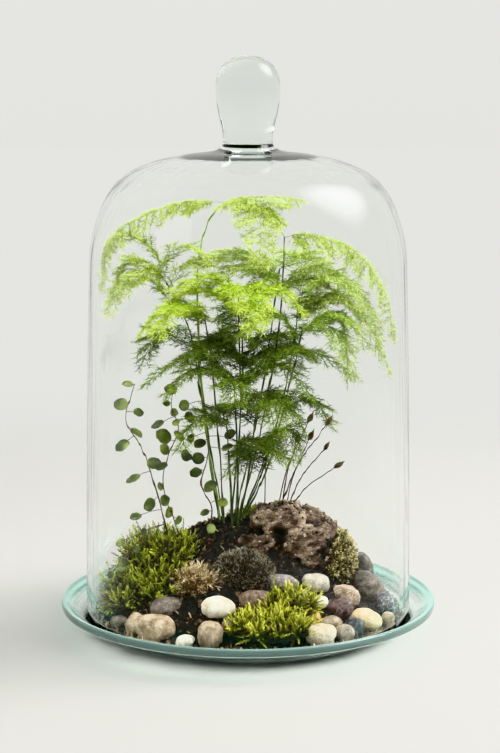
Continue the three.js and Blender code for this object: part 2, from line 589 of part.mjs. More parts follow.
// Moss clumps: lumpy cores with pointed shoots. The bare stalks stand in the moss behind the stems.
const MOSSES = [
  { name: 'moss_left', colour: 0x86a51c, shoots: { count: 8, length: 7, width: 1.9, seed: 31 }, cores: [
    { at: [-56, -9, 44.5], half: [30, 26, 17], turn: 0.1, bump: 0.08, seed: 2, detail: 1 },
    { at: [-76, -27, 28.5], half: [20, 21, 14], turn: 0.3, bump: 0.08, seed: 5, detail: 1 },
    { at: [-52, -30, 32.5], half: [19, 15, 13], bump: 0.08, seed: 6, detail: 1 },
  ] },
  { name: 'moss_front', colour: 0x8fae22, shoots: { count: 9, length: 6, width: 1.8, seed: 37 }, cores: [
    { at: [14, -81, 21.5], half: [27, 14, 9.2], turn: 0.05, bump: 0.08, seed: 4, detail: 1 },
    { at: [24.5, -66, 28.5], half: [17, 10, 10], turn: 0.2, bump: 0.08, seed: 9, detail: 1 },
  ] },
  { name: 'moss_cushion', colour: 0x4a4636, shoots: { count: 8, length: 1.6, width: 1.3, seed: 41, rise: 0.1 },
    cores: [{ at: [-3, -36, 43.5], half: [20.5, 17, 17], bump: 0.03, seed: 1 }] },
  { name: 'moss_dry', colour: 0x9a7d45, shoots: { count: 10, length: 5, width: 1.3, seed: 43 }, cores: [
    { at: [-33, -46, 39], half: [9, 9, 8], bump: 0.1, seed: 3, detail: 1 },
  ] },
  { name: 'moss_back', colour: 0x7c8a22, shoots: { count: 14, length: 3.5, width: 1.3, seed: 47 }, cores: [
    { at: [3, 38, 62], half: [17, 12, 8], bump: 0.08, seed: 7, detail: 1 },
  ], stalks: [[[11, 31, 64], [11.5, 30, 88], [12, 30, 109]], [[5, 30, 64], [5.5, 29, 72], [5, 29, 79]]] },
  { name: 'moss_on_bark', colour: 0x6f7426,
    shoots: { count: 10, length: 3.5, width: 1.6, seed: 53, low: -0.5 },
    cores: [{ at: [59.5, -7, 46.5], half: [10.5, 16, 23], bump: 0.08, seed: 6, detail: 1 }] },
];

// "Room" is a form grown on every side: what comes later is cut back to it, and so keeps clear.
const SHOOT_ROOM = 0.8;
const barkRoom = barkForm(ROOM);
const fernStems = FERNS.map((fern) => rootedStem(fern.stem, STEM_RADIUS));
const fernStemRooms = FERNS.map((fern) => rootedStem(fern.stem, STEM_RADIUS + ROOM));
const vineStemRooms = VINES.map((vine) => rootedStem(vine.stem, VINE_RADIUS + ROOM));
const holes = [...FERNS, ...VINES].map(({ stem }) => hole(stem[0]));
const spores = sporeStalks();
const tuftRoom = lump({ ...TUFT, grow: ROOM });
const sporeRoom = tuftRoom.add(joined(CAPSULES.map((at) => lump({ at, half: CAPSULE_ROOM, detail: 1 }))));

function without(list, i) {
  return list.filter((item, j) => j !== i);
}

// Vines: each keeps its stem whole, and its leaves make way for the other stems.
const vines = [];
let vineRoom = joined(vineStemRooms);
VINES.forEach((vine, i) => {
  const others = joined([...fernStemRooms, ...without(vineStemRooms, i), ...vines.map(({ room }) => room)]);
  const leaves = joined(vineLeaves(vine, 0)).intersect(air).subtract(others);
  const stem = rootedStem(vine.stem, VINE_RADIUS);
  const room = joined(vineLeaves(vine, ROOM));
  vines.push({ name: vine.name, shape: mainBody(stem.add(leaves)), room });
  vineRoom = vineRoom.add(room);
});

// Fern fronds, top ones first: each spray makes way for every other stem and the sprays before it.
const fronds = [];
let sprayRoom = vineRoom.add(sporeRoom);
FERNS.forEach((fern, i) => {
  const blades = joined(fern.sprays.map((one) => spray(one, 0)));
  const trimmed = blades.intersect(air).subtract(joined([...without(fernStemRooms, i), sprayRoom]));
  fronds.push({ name: fern.name, colour: fern.colour, shape: mainBody(fernStems[i].add(trimmed)) });
  sprayRoom = sprayRoom.add(joined(fern.sprays.map((one) => spray(one, ROOM))));
});

// The soil fills the plate's well under everything.
const SOIL_RINGS = [0, 18, 36, 52, 66, 78, 88, SOIL_RADIUS];
function soilForm(raise) {
  const floor = WELL_FLOOR + CLEARANCE;
  const below = [[0, floor], [WELL_RADIUS - 1, floor], [89, 7.9], [SOIL_RADIUS - 1, 12.1]];
  const marker = 200;
  const above = [...SOIL_RINGS].reverse().map((r) => [r, marker]);
  const outline = [...below, ...above].map(([r, z]) => new THREE.Vector2(r, z));
  const geometry = new THREE.LatheGeometry(outline, SOIL_SIDES);
  geometry.rotateX(Math.PI / 2);
  const place = geometry.attributes.position;
  for (let i = 0; i < place.count; i += 1) {
    if (place.getZ(i) > marker / 2) place.setZ(i, soilHeight(place.getX(i), place.getY(i)) + raise);
  }
  return solid(geometry);
}

// Each clump of moss makes room for the stones, the bark, the stems and the clumps before it, and
// its shoots end at the soil.
const mosses = [];
const raisedSoil = soilForm(ROOM);
let taken = joined([pebbleSeats, barkRoom, ...fernStemRooms, vineRoom, sporeRoom]);
let seats = joined([pebbleSeats, barkRoom, tuftRoom, ...holes]);
for (const moss of MOSSES) {
  const cores = joined(moss.cores.map((core) => lump(core)));
  const room = joined(moss.cores.map((core) => lump({ ...core, grow: ROOM })));
  const stand = (width) => moss.cores.flatMap((core, i) => shoots(core, {
    ...moss.shoots, width, seed: moss.shoots.seed + i,
  }));
  const stalks = (moss.stalks ?? []).map((points) => stalk(points, STALK_RADIUS, 4, 5));
  const standing = joined([...stand(moss.shoots.width), ...stalks]).subtract(raisedSoil);
  const shape = mainBody(cores.add(standing).intersect(air).subtract(taken));
  mosses.push({ name: moss.name, colour: moss.colour, shape });
  taken = taken.add(joined([room, ...stand(moss.shoots.width + SHOOT_ROOM)]));
  seats = seats.add(room);
}
const soil = mainBody(soilForm(0).subtract(seats), 0.1);

addGlass('glass_plate', plate, 0xcfe6df);
addGlass('glass_bell', bell, 0xe6efec);
addMesh('soil', soil, 0x2a211b, 1);
for (const pebble of pebbles) addMesh(pebble.name, pebble.shape, pebble.colour, 0.6);
addMesh('bark', bark, 0x5b4433, 0.95);
for (const moss of mosses) addMesh(moss.name, moss.shape, moss.colour, 0.9);
addMesh('spore_stalks', spores, 0x6b3a25, 0.7);
for (const vine of vines) addMesh(vine.name, vine.shape, 0x4f7a3a, 0.5);
for (const frond of fronds) addMesh(frond.name, frond.shape, frond.colour, 0.7);

export default part;
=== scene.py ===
# Glass plant terrarium: a blown glass bell on a glass plate, over a planted mound of soil.
# Sizes in the sections are millimetres, as on the real thing. MM turns them to Blender's metres.
# The sections follow the object as it is put together, from the plate up to the bell.

import math
import random

import bmesh
import bpy
from mathutils import Matrix, Vector, noise


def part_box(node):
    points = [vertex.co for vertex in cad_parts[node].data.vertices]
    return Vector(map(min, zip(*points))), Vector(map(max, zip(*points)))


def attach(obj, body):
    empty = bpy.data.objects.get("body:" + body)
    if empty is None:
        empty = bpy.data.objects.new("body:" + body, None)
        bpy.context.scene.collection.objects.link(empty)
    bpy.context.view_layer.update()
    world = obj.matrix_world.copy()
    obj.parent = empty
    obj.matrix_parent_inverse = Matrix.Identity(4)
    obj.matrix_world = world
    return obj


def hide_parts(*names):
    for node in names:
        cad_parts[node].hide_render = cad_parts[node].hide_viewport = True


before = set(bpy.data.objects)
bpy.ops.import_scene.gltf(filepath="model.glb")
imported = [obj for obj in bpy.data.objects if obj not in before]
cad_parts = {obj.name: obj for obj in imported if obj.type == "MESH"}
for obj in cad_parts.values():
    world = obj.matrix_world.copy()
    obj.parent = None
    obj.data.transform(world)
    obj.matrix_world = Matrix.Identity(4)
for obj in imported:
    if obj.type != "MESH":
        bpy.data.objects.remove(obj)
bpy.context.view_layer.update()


# Glass plate: one thick, shallow dish of pressed soda-lime glass with a flat foot, a sloping well,
# a flat seat for the bell and a rounded rim. Light that runs through the dish leaves by its edge,
# which is why the rim looks mint green.
MM = 0.001
PLATE_RADIUS = 125
PLATE_HEIGHT = 22
FOOT_RADIUS = 82
WELL_RADIUS = 84
WELL_FLOOR = 6
SEAT_HEIGHT = 14.5
SEAT_INNER = 102
SEAT_OUTER = 112


def linear(hex_colour):
    """An sRGB hex colour as the linear values that the shaders want."""
    parts = [int(hex_colour[i : i + 2], 16) / 255 for i in (1, 3, 5)]
    return (*[c / 12.92 if c <= 0.04045 else ((c + 0.055) / 1.055) ** 2.4 for c in parts], 1)


def add(tree, kind, sockets=None, **settings):
    """One node. A socket gets a value, or a link from an output, or from the first output of a node."""
    made = tree.nodes.new(kind)
    for name, value in settings.items():
        if name == "stops":
            ramp = made.color_ramp.elements
            while len(ramp) < len(value):
                ramp.new(0.5)
            for element, (place, colour) in zip(ramp, value):
                element.position = place
                element.color = linear(colour)
        else:
            setattr(made, name, value)
    for key, value in (sockets or {}).items():
        if isinstance(value, bpy.types.Node):
            value = value.outputs[0]
        if isinstance(value, bpy.types.NodeSocket):
            tree.links.new(value, made.inputs[key])
        else:
            made.inputs[key].default_value = value
    return made


def new_material(name):
    """An empty material, its tree, and the place on the object that its patterns go by."""
    made = bpy.data.materials.new(name)
    made.use_nodes = True
    tree = made.node_tree
    tree.nodes.clear()
    return made, tree, add(tree, "ShaderNodeTexCoord").outputs["Object"]


RIM_CLEAR_TO = 114
RIM_GREEN_FROM = 122.5


def glass(name, body, shade, depth, mirror, waviness=0.0, rim=None):
    """Clear glass: body is its own colour, and shade is what white light becomes after depth mm.

    mirror is the share of the surround that its surface mirrors.
    """
    made, tree, coords = new_material(name)
    sockets = {"Base Color": linear(body), "Roughness": 0.0, "IOR": 1.5, "Transmission Weight": 1.0,
               "Specular Tint": (mirror, mirror, mirror, 1)}
    if rim:
        # Painted light: towards its edge the plate's colour turns mint green, painted in for the glow that a
        # thick plate shows there because light runs so far through it.
        level = add(tree, "ShaderNodeVectorMath", {0: coords, 1: (1, 1, 0)}, operation="MULTIPLY")
        radius = add(tree, "ShaderNodeVectorMath", {0: level}, operation="LENGTH")
        share = add(tree, "ShaderNodeMapRange",
                    {0: radius.outputs["Value"], 1: RIM_CLEAR_TO * MM, 2: RIM_GREEN_FROM * MM})
        tinted = add(tree, "ShaderNodeValToRGB", {"Fac": share}, stops=[(0.0, body), (1.0, rim)])
        # The rim lets less light through and so shows more of its painted mint, a painted glow that looks a
        # little cloudy.
        painted_glow_transmission = add(tree, "ShaderNodeMapRange", {0: share, 1: 0.5, 2: 1.0, 3: 1.0, 4: 0.7})
        sockets["Base Color"] = tinted
        sockets["Transmission Weight"] = painted_glow_transmission
    if waviness:
        # Blowing and turning leave faint streaks down the wall, about 11 mm apart and 110 mm long.
        drawn = add(tree, "ShaderNodeMapping", {"Vector": coords, "Scale": (90, 90, 9)})
        streaks = add(tree, "ShaderNodeTexNoise", {"Vector": drawn, "Scale": 1, "Detail": 2})
        bump = add(tree, "ShaderNodeBump", {"Strength": waviness, "Distance": MM, "Height": streaks})
        sockets["Normal"] = bump
    clear = add(tree, "ShaderNodeBsdfPrincipled", sockets)
    # Light passes to the planting inside, as it does through a thin real wall.
    path = add(tree, "ShaderNodeLightPath")
    passing = add(tree, "ShaderNodeBsdfTransparent", {"Color": (0.93, 0.95, 0.94, 1)})
    mixed = add(tree, "ShaderNodeMixShader", {0: path.outputs["Is Shadow Ray"], 1: clear, 2: passing})
    density = 1 / (depth * MM)
    inside = add(tree, "ShaderNodeVolumeAbsorption", {"Color": linear(shade), "Density": density})
    add(tree, "ShaderNodeOutputMaterial", {"Surface": mixed, "Volume": inside})
    return made


def through(points, steps=8):
    """Points on one smooth curve that passes every given point, with steps between each two."""
    ends = [points[0], *points, points[-1]]
    made = []
    for before, start, end, after in zip(ends, ends[1:], ends[2:], ends[3:]):
        before, start, end, after = (Vector(p) for p in (before, start, end, after))
        for i in range(steps):
            t = i / steps
            made.append(0.5 * (2 * start + (end - before) * t
                               + (2 * before - 5 * start + 4 * end - after) * t**2
                               + (3 * start - before - 3 * end + after) * t**3))
    return [*made, Vector(points[-1])]


def linked(name, data):
    """An object of the data, in the scene."""
    made = bpy.data.objects.new(name, data)
    bpy.context.scene.collection.objects.link(made)
    return made


def mesh_of(name, corners, faces):
    """A mesh of the given corners (mm) and faces."""
    data = bpy.data.meshes.new(name)
    data.from_pydata([[c * MM for c in corner] for corner in corners], [], faces)
    return data


def smooth_piece(name, data, material):
    """An object of the mesh, smooth all over and of one material."""
    data.materials.append(material)
    data.polygons.foreach_set("use_smooth", [True] * len(data.polygons))
    return linked(name, data)


def mesh_piece(name, corners, faces, material):
    """An object of the given corners (mm) and faces, its faces turned out."""
    data = mesh_of(name, corners, faces)
    body = bmesh.new()
    body.from_mesh(data)
    bmesh.ops.recalc_face_normals(body, faces=body.faces)
    body.to_mesh(data)
    body.free()
    return smooth_piece(name, data, material)


def round_body(outline, sides):
    """Corners and faces of a body turned from (radius, height) points that start and end on its axis."""
    corners, faces, rings = [], [], []
    for radius, height in outline:
        count = sides if radius > 1e-6 else 1
        rings.append(range(len(corners), len(corners) + count))
        for i in range(count):
            angle = 2 * math.pi * i / sides
            corners.append((radius * math.cos(angle), radius * math.sin(angle), height))
    for low, high in zip(rings, rings[1:]):
        for i in range(sides):
            j = (i + 1) % sides
            ring = [low[i % len(low)], low[j % len(low)], high[j % len(high)], high[i % len(high)]]
            faces.append(list(dict.fromkeys(ring)))
    return corners, faces


def turned(name, outline, sides, material):
    """A closed object turned round the upright axis."""
    return mesh_piece(name, *round_body(outline, sides), material)


def place(piece, slot, *nodes):
    """Attaches a finished piece to the object's root body, and hides the CAD nodes it stands for. The slot is
    not used.
    """
    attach(piece, "root")
    if nodes:
        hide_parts(*nodes)


plate_outline = [
    (0, 0), (40, 0), *through([(FOOT_RADIUS, 0), (94, 3.3), (107, 10.2), (116, 13.8), (121.5, 15.6)]),
    *through([(123.6, 16.3), (124.7, 17.2), (PLATE_RADIUS, 18.6), (PLATE_RADIUS, 20.4), (124.5, 21.5),
              (123.2, PLATE_HEIGHT), (121.8, 21.5), (119.5, 19.6), (116, 17.1),
              (SEAT_OUTER, SEAT_HEIGHT)], 5),
    *through([(SEAT_INNER, SEAT_HEIGHT), (96, 11.4), (89, 7.4), (WELL_RADIUS, WELL_FLOOR)]),
    (40, WELL_FLOOR), (0, WELL_FLOOR),
]
# The plate is clear and faintly green, and its rim carries a stronger green, painted in as its glow.
plate_glass = glass("pressed_soda_lime_glass", "#F8FCFA", "#CFEBE3", 60, 0.7, rim="#C2E8DF")
place(turned("glass_dish", plate_outline, 144, plate_glass), "plate_glass", "glass_plate")
OFF_GLASS = 0.1


def rest_on_plate(piece):
    """What would reach into the dish is raised to just over its upper face."""
    upper = plate_outline[::-1]
    for vertex in piece.data.vertices:
        if vertex.co.z > SEAT_HEIGHT * MM:
            continue
        radius = math.hypot(vertex.co.x, vertex.co.y) / MM
        for (near, low), (far, high) in zip(upper, upper[1:]):
            if near <= radius < far:
                face = low + (high - low) * (radius - near) / (far - near)
                vertex.co.z = max(vertex.co.z, (face + OFF_GLASS) * MM)
                break


# Potting soil: a mound of dark peat and bark compost that fills the dish's well. It is one closed
# body under the planting, with loose crumbs and pale bits of straw and root strewn on it.
SOIL_RADIUS = 97
SOIL_EDGE = 13.5
SOIL_RISE = 58.5


def soil_height(x, y):
    """The mound's surface, longer from side to side than from front to back."""
    far = math.hypot(0.95 * (x + 4), y - 10) / 100
    dome = max(0.0, 1 - far * far) ** 1.5
    uneven = 0.9 * math.sin(0.21 * x + 1.3) * math.cos(0.19 * y) + 0.6 * math.sin(0.37 * (x - y))
    return SOIL_EDGE + SOIL_RISE * dome + uneven * min(1, 3 * dome)


def mottled(name, darkest, middle, lightest, grain, roughness=0.9, bump=0.6, tint=0.0):
    """A matt material of three colours in patches of the given grain (mm), rough at a third of it."""
    made, tree, coords = new_material(name)
    spread = add(tree, "ShaderNodeMapping", {"Vector": coords, "Scale": [1 / (grain * MM)] * 3})
    patches = add(tree, "ShaderNodeTexNoise",
                  {"Vector": spread, "Scale": 1, "Detail": 6, "Roughness": 0.62})
    factor = patches.outputs[0]
    if tint:
        # Each crumb, shoot or leaf carries a tint of its own.
        own = add(tree, "ShaderNodeAttribute", attribute_name="tint")
        shift = add(tree, "ShaderNodeMath", {0: own.outputs["Fac"], 1: tint, 2: -0.5 * tint},
                    operation="MULTIPLY_ADD")
        factor = add(tree, "ShaderNodeMath", {0: factor, 1: shift}, operation="ADD").outputs[0]
    colour = add(tree, "ShaderNodeValToRGB", {"Fac": factor},
                 stops=[(0.3, darkest), (0.5, middle), (0.7, lightest)])
    fine = add(tree, "ShaderNodeTexNoise", {"Vector": spread, "Scale": 3, "Detail": 4})
    relief = add(tree, "ShaderNodeBump", {"Strength": bump, "Distance": 0.25 * grain * MM, "Height": fine})
    surface = add(tree, "ShaderNodeBsdfPrincipled",
                  {"Base Color": colour, "Roughness": roughness, "Normal": relief})
    add(tree, "ShaderNodeOutputMaterial", {"Surface": surface})
    return made


def finish_modifiers(piece):
    """Turns a piece with its modifiers into a plain mesh."""
    graph = bpy.context.evaluated_depsgraph_get()
    done = bpy.data.meshes.new_from_object(piece.evaluated_get(graph))
    piece.modifiers.clear()
    piece.data = done


def use_tree(piece, tree, values):
    """Runs a geometry tree on a piece, with its inputs set by name."""
    made = piece.modifiers.new(tree.name, "NODES")
    made.node_group = tree
    for item in tree.interface.items_tree:
        if item.item_type == "SOCKET" and item.in_out == "INPUT" and item.name in values:
            made[item.identifier] = values[item.name]
    finish_modifiers(piece)


def new_tree(name, inputs):
    """A geometry tree with named inputs: (name, socket kind, first value)."""
    made = bpy.data.node_groups.new(name, "GeometryNodeTree")
    made.interface.new_socket("Geometry", in_out="INPUT", socket_type="NodeSocketGeometry")
    made.interface.new_socket("Geometry", in_out="OUTPUT", socket_type="NodeSocketGeometry")
    for label, kind, value in inputs:
        socket = made.interface.new_socket(label, in_out="INPUT", socket_type="NodeSocket" + kind)
        if value is not None:
            socket.default_value = value
    return made, add(made, "NodeGroupInput").outputs


def strewing_tree():
    """Sows copies of one small piece over a surface, each with its own size, turn and tint."""
    tree, given = new_tree("strewing", [
        ("Piece", "Object", None), ("Material", "Material", None), ("Density", "Float", 1e5),
        ("Smallest", "Float", 0.6), ("Largest", "Float", 1.2), ("Upright", "Float", 0.5),
        ("Tilt", "Float", 0.6), ("Steepest", "Float", -0.2), ("Keep surface", "Bool", True),
        ("Seed", "Int", 1),
    ])
    facing = add(tree, "ShaderNodeSeparateXYZ", {0: add(tree, "GeometryNodeInputNormal")})
    level = add(tree, "FunctionNodeCompare", {0: facing.outputs["Z"], 1: given["Steepest"]},
                operation="GREATER_THAN")
    sown = add(tree, "GeometryNodeDistributePointsOnFaces",
               {"Mesh": given["Geometry"], "Selection": level, "Density": given["Density"],
                "Seed": given["Seed"]})
    up = add(tree, "ShaderNodeCombineXYZ", {"Z": given["Upright"]})
    lean = add(tree, "FunctionNodeRandomValue", {0: (-1, -1, -0.6), 1: (1, 1, 1), "Seed": given["Seed"]},
               data_type="FLOAT_VECTOR")
    leaned = add(tree, "ShaderNodeVectorMath", {0: lean, "Scale": given["Tilt"]}, operation="SCALE")
    raised = add(tree, "ShaderNodeVectorMath", {0: sown.outputs["Normal"], 1: up}, operation="ADD")
    way = add(tree, "ShaderNodeVectorMath", {0: raised, 1: leaned}, operation="ADD")
    spin = add(tree, "FunctionNodeRandomValue", {2: -math.pi, 3: math.pi, "Seed": 7}, data_type="FLOAT")
    first = add(tree, "ShaderNodeCombineXYZ", {"Z": spin.outputs[1]})
    turn = add(tree, "FunctionNodeAlignEulerToVector", {"Rotation": first, "Vector": way}, axis="Z")
    size = add(tree, "FunctionNodeRandomValue", {2: given["Smallest"], 3: given["Largest"], "Seed": 3},
               data_type="FLOAT")
    grown = add(tree, "GeometryNodeObjectInfo", {"Object": given["Piece"]})
    copies = add(tree, "GeometryNodeInstanceOnPoints",
                 {"Points": sown.outputs["Points"], "Instance": grown.outputs["Geometry"], "Rotation": turn,
                  "Scale": size.outputs[1]})
    own = add(tree, "FunctionNodeRandomValue", {2: 0.0, 3: 1.0, "Seed": 11}, data_type="FLOAT")
    tinted = add(tree, "GeometryNodeStoreNamedAttribute",
                 {"Geometry": copies, "Name": "tint", "Value": own.outputs[1]}, data_type="FLOAT",
                 domain="INSTANCE")
    real = add(tree, "GeometryNodeRealizeInstances", {0: tinted})
    dressed = add(tree, "GeometryNodeSetMaterial", {"Geometry": real, "Material": given["Material"]})
    kept = add(tree, "GeometryNodeSwitch", {0: given["Keep surface"], "True": given["Geometry"]},
               input_type="GEOMETRY")
    both = add(tree, "GeometryNodeJoinGeometry", {0: kept})
    tree.links.new(dressed.outputs[0], both.inputs[0])
    add(tree, "NodeGroupOutput", {0: both})
    return tree


strewing = strewing_tree()


def pattern_piece(name, corners, faces):
    """A small piece that a geometry tree copies. It is not part of the object itself."""
    return bpy.data.objects.new(name, mesh_of(name, corners, faces))


def crumb_pattern(name, half):
    """A rough eight-cornered crumb with the given half sizes."""
    draw = random.Random(5)
    corners = []
    for i in range(8):
        signs = (1 if i & 1 else -1, 1 if i & 2 else -1, 1 if i & 4 else -1)
        corners.append([s * h * draw.uniform(0.45, 1) for s, h in zip(signs, half)])
    faces = [(0, 2, 3, 1), (4, 5, 7, 6), (0, 1, 5, 4), (2, 6, 7, 3), (0, 4, 6, 2), (1, 3, 7, 5)]
    return pattern_piece(name, corners, faces)


RING_GAP = 2.375
RINGS = 40
SOIL_SIDES = 150


def mound(name):
    """The soil's closed body: rings over the top, then back under it along the dish's well."""
    top = [RING_GAP * i for i in range(RINGS + 1)] + [SOIL_RADIUS]
    under = [(SOIL_RADIUS - 1, 12.1), (89, 7.9), (WELL_RADIUS - 1, WELL_FLOOR + 0.3), (0, WELL_FLOOR + 0.3)]
    # The top's points stand far up at first, so that the faces turn out right, and are then let down.
    raised = 200
    piece = turned(name, [(r, raised) for r in top] + under, SOIL_SIDES, peat)
    for vertex in piece.data.vertices:
        x, y, z = vertex.co / MM
        if z > raised / 2:
            # Crumbs stand out more on the open slopes than at the rim, which keeps to its height.
            rough = noise.fractal(Vector((x, y, 0)) * 0.16, 0.9, 2.1, 4)
            fade = min(1, (SOIL_RADIUS - math.hypot(x, y)) / 4)
            vertex.co.z = (soil_height(x, y) + 1.8 * rough * fade) * MM
    return piece


# Damp peat is matt and nearly black, with drier brown crumbs. Bits of straw and root in it are pale gold.
peat = mottled("damp_peat_compost", "#070504", "#221913", "#66523F", 2.2, bump=1.0, tint=0.5)
straw = mottled("dry_straw_and_root", "#6B5434", "#A98C5E", "#D3BF92", 2, tint=0.5)
crumb = crumb_pattern("peat_crumb", (1.1, 0.9, 0.8))
fibre = crumb_pattern("straw_bit", (0.35, 0.35, 3.4))
soil = mound("soil_mound")
use_tree(soil, strewing, {"Piece": crumb, "Material": peat, "Density": 8e4, "Smallest": 0.35,
                          "Largest": 1.6, "Upright": 0.0, "Tilt": 3.0, "Steepest": 0.3, "Seed": 4})
rest_on_plate(soil)
place(soil, "soil", "soil")
litter = mound("soil_litter")
use_tree(litter, strewing, {"Piece": fibre, "Material": straw, "Density": 7e3, "Smallest": 0.4,
                            "Largest": 1.3, "Upright": -0.6, "Tilt": 1.4, "Steepest": 0.3,
                            "Keep surface": False, "Seed": 9})
rest_on_plate(litter)
place(litter, "soil")

# Crumbs and dry bits have fallen on the plate round the front of the mound.
SPILL_INNER = (97.4, 12.3)
SPILL_OUTER = (102.6, 14.8)
SPILL_FROM = 168
SPILL_TO = 400
SPILL_STEP = 3
spill_corners, spill_faces = [], []
for degrees in range(SPILL_FROM, SPILL_TO, SPILL_STEP):
    turn = Matrix.Rotation(math.radians(degrees), 3, "Z")
    spill_corners += [turn @ Vector((r, 0, z)) for r, z in (SPILL_INNER, SPILL_OUTER)]
    if degrees > SPILL_FROM:
        end = len(spill_corners) - 1
        spill_faces.append((end - 3, end - 2, end, end - 1))
SPILLED = [("spilled_crumbs", crumb, peat, 3.6e5, 15), ("spilled_straw", fibre, straw, 7e4, 16)]
for name, pattern, look, density, seed in SPILLED:
    spill = mesh_piece(name, spill_corners, spill_faces, look)
    use_tree(spill, strewing, {"Piece": pattern, "Material": look, "Density": density, "Smallest": 0.25,
                               "Largest": 0.9, "Upright": -0.8, "Tilt": 0.8, "Steepest": -1.0,
                               "Keep surface": False, "Seed": seed})
    rest_on_plate(spill)
    place(spill, "soil")


# Pebbles: river stones of many kinds, worn smooth by water, pressed into the soil round the front
# and the right side. Each is its own stone, with its own colours, grain, veins or pits.
STONES = {
    # node: (dark, body, light, patch mm, roughness, pits)
    "pebble_white": ("#A8926F", "#E3DACA", "#F6F2E8", 6, 0.45, 0.25),
    "pebble_beige": ("#6A5644", "#9D8971", "#C6B59D", 4, 0.5, 0.4),
    "pebble_brown": ("#3C2D26", "#6A5446", "#94806F", 3, 0.5, 0.5),
    "pebble_mauve": ("#413837", "#786D6A", "#A89E99", 2.6, 0.5, 0.8),
    "pebble_pale_grey": ("#77705F", "#ABA395", "#D2CCBF", 3.5, 0.55, 0.7),
    "pebble_straw": ("#8C7F4E", "#BFB27F", "#DFD6AE", 5, 0.5, 0.3),
    "pebble_white_small": ("#B9AC94", "#E6E0D3", "#FAF8F3", 5, 0.4, 0.2),
    "pebble_quartz": ("#5C4534", "#97816C", "#E6DCCD", 9, 0.3, 0.5),
    "pebble_maroon": ("#211718", "#4A3536", "#77605C", 4, 0.4, 0.4),
    "pebble_tall_grey": ("#231F1C", "#51483F", "#8A7E71", 3.5, 0.55, 0.8),
    "pebble_dark_behind": ("#1F1D1B", "#47423C", "#7C746A", 4, 0.55, 0.5),
    "pebble_glassy": ("#17191C", "#393D42", "#9FA3A6", 2.4, 0.2, 0.3),
    "pebble_cream": ("#B97F42", "#E2CFA4", "#F6EED6", 8, 0.35, 0.2),
    "pebble_sand": ("#7B6A52", "#A99579", "#CFC0A6", 3, 0.6, 0.4),
    "pebble_tan": ("#5F5042", "#8E7C6A", "#B5A592", 4, 0.5, 0.4),
    "pebble_slate": ("#151719", "#34373A", "#7B8083", 2.4, 0.5, 0.9),
    "pebble_tan_front": ("#5E5245", "#8F8272", "#BDB1A0", 4, 0.5, 0.4),
    "pebble_ivory": ("#8F7352", "#D6C6AC", "#F4ECDC", 6, 0.35, 0.5),
    "pebble_amber": ("#8A6A35", "#C5A562", "#E3CB92", 4, 0.3, 0.2),
    "pebble_flat_brown": ("#47372B", "#76614E", "#A18C78", 4, 0.55, 0.4),
    "pebble_grey_brown": ("#3E352F", "#6D6058", "#968A80", 4, 0.5, 0.5),
    "pebble_white_tiny": ("#A99A80", "#DDD5C6", "#FBFAF6", 4, 0.4, 0.25),
    "pebble_flat_left": ("#4D4035", "#7D6C5C", "#A59686", 4, 0.55, 0.4),
    "pebble_bean": ("#6B543F", "#AD9579", "#DACBB3", 6, 0.42, 0.35),
}
VEINED = {"pebble_maroon": "#7E6A66"}


def stone(name, dark, body, light, patch, roughness, pits, vein):
    """A water-worn stone: patches and fine grains of its colours, small pits, and veins if it has any."""
    made, tree, coords = new_material(name)
    patches = add(tree, "ShaderNodeTexNoise",
                  {"Vector": coords, "Scale": 1 / (patch * MM), "Detail": 5, "Roughness": 0.6})
    # Grains are drawn at 0.7 mm and pits at 1.3 mm, coarser than on many real stones, so that they show.
    grains = add(tree, "ShaderNodeTexNoise", {"Vector": coords, "Scale": 1 / (0.7 * MM), "Detail": 2})
    both = add(tree, "ShaderNodeMix", {0: 0.35, 2: patches, 3: grains}, data_type="FLOAT")
    colour = add(tree, "ShaderNodeValToRGB", {"Fac": both},
                 stops=[(0.36, dark), (0.5, body), (0.62, light)]).outputs[0]
    if vein:
        # Thin pale veins wander through the stone and turn about every 11 mm.
        bent = add(tree, "ShaderNodeTexNoise", {"Vector": coords, "Scale": 90, "Detail": 3})
        lines = add(tree, "ShaderNodeTexWave",
                    {"Vector": bent.outputs["Color"], "Scale": 2.2, "Distortion": 1.5, "Detail": 2},
                    bands_direction="DIAGONAL")
        narrow = add(tree, "ShaderNodeMapRange", {0: lines, 1: 0.82, 2: 0.95})
        mixed = add(tree, "ShaderNodeMix", {0: narrow, 6: colour, 7: linear(vein)}, data_type="RGBA")
        colour = mixed.outputs[2]
    holes = add(tree, "ShaderNodeTexVoronoi", {"Vector": coords, "Scale": 1 / (1.3 * MM)})
    pitted = add(tree, "ShaderNodeMapRange", {0: holes.outputs["Distance"], 1: 0.1, 2: 0.35})
    worn = add(tree, "ShaderNodeMath", {0: pitted, 1: pits, 2: patches}, operation="MULTIPLY_ADD")
    relief = add(tree, "ShaderNodeBump", {"Strength": 0.5, "Distance": 0.3 * MM, "Height": worn})
    uneven = add(tree, "ShaderNodeMapRange",
                 {0: grains, 1: 0.3, 2: 0.7, 3: roughness - 0.1, 4: roughness + 0.12})
    surface = add(tree, "ShaderNodeBsdfPrincipled",
                  {"Base Color": colour, "Roughness": uneven, "Normal": relief})
    add(tree, "ShaderNodeOutputMaterial", {"Surface": surface})
    return made


def copy_of(node, name, material, levels):
    """A smooth, finer copy of a CAD node, stretched back to the node's box after the smoothing."""
    body = bmesh.new()
    body.from_mesh(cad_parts[node].data)
    bmesh.ops.remove_doubles(body, verts=body.verts, dist=1e-5)
    data = bpy.data.meshes.new(name)
    body.to_mesh(data)
    body.free()
    made = smooth_piece(name, data, material)
    finer = made.modifiers.new("finer", "SUBSURF")
    finer.levels = finer.render_levels = levels
    finish_modifiers(made)
    low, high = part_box(node)
    for axis in range(3):
        reach = [v.co[axis] for v in made.data.vertices]
        least, most = min(reach), max(reach)
        for vertex in made.data.vertices:
            share = (vertex.co[axis] - least) / (most - least)
            vertex.co[axis] = low[axis] + share * (high[axis] - low[axis])
    return made


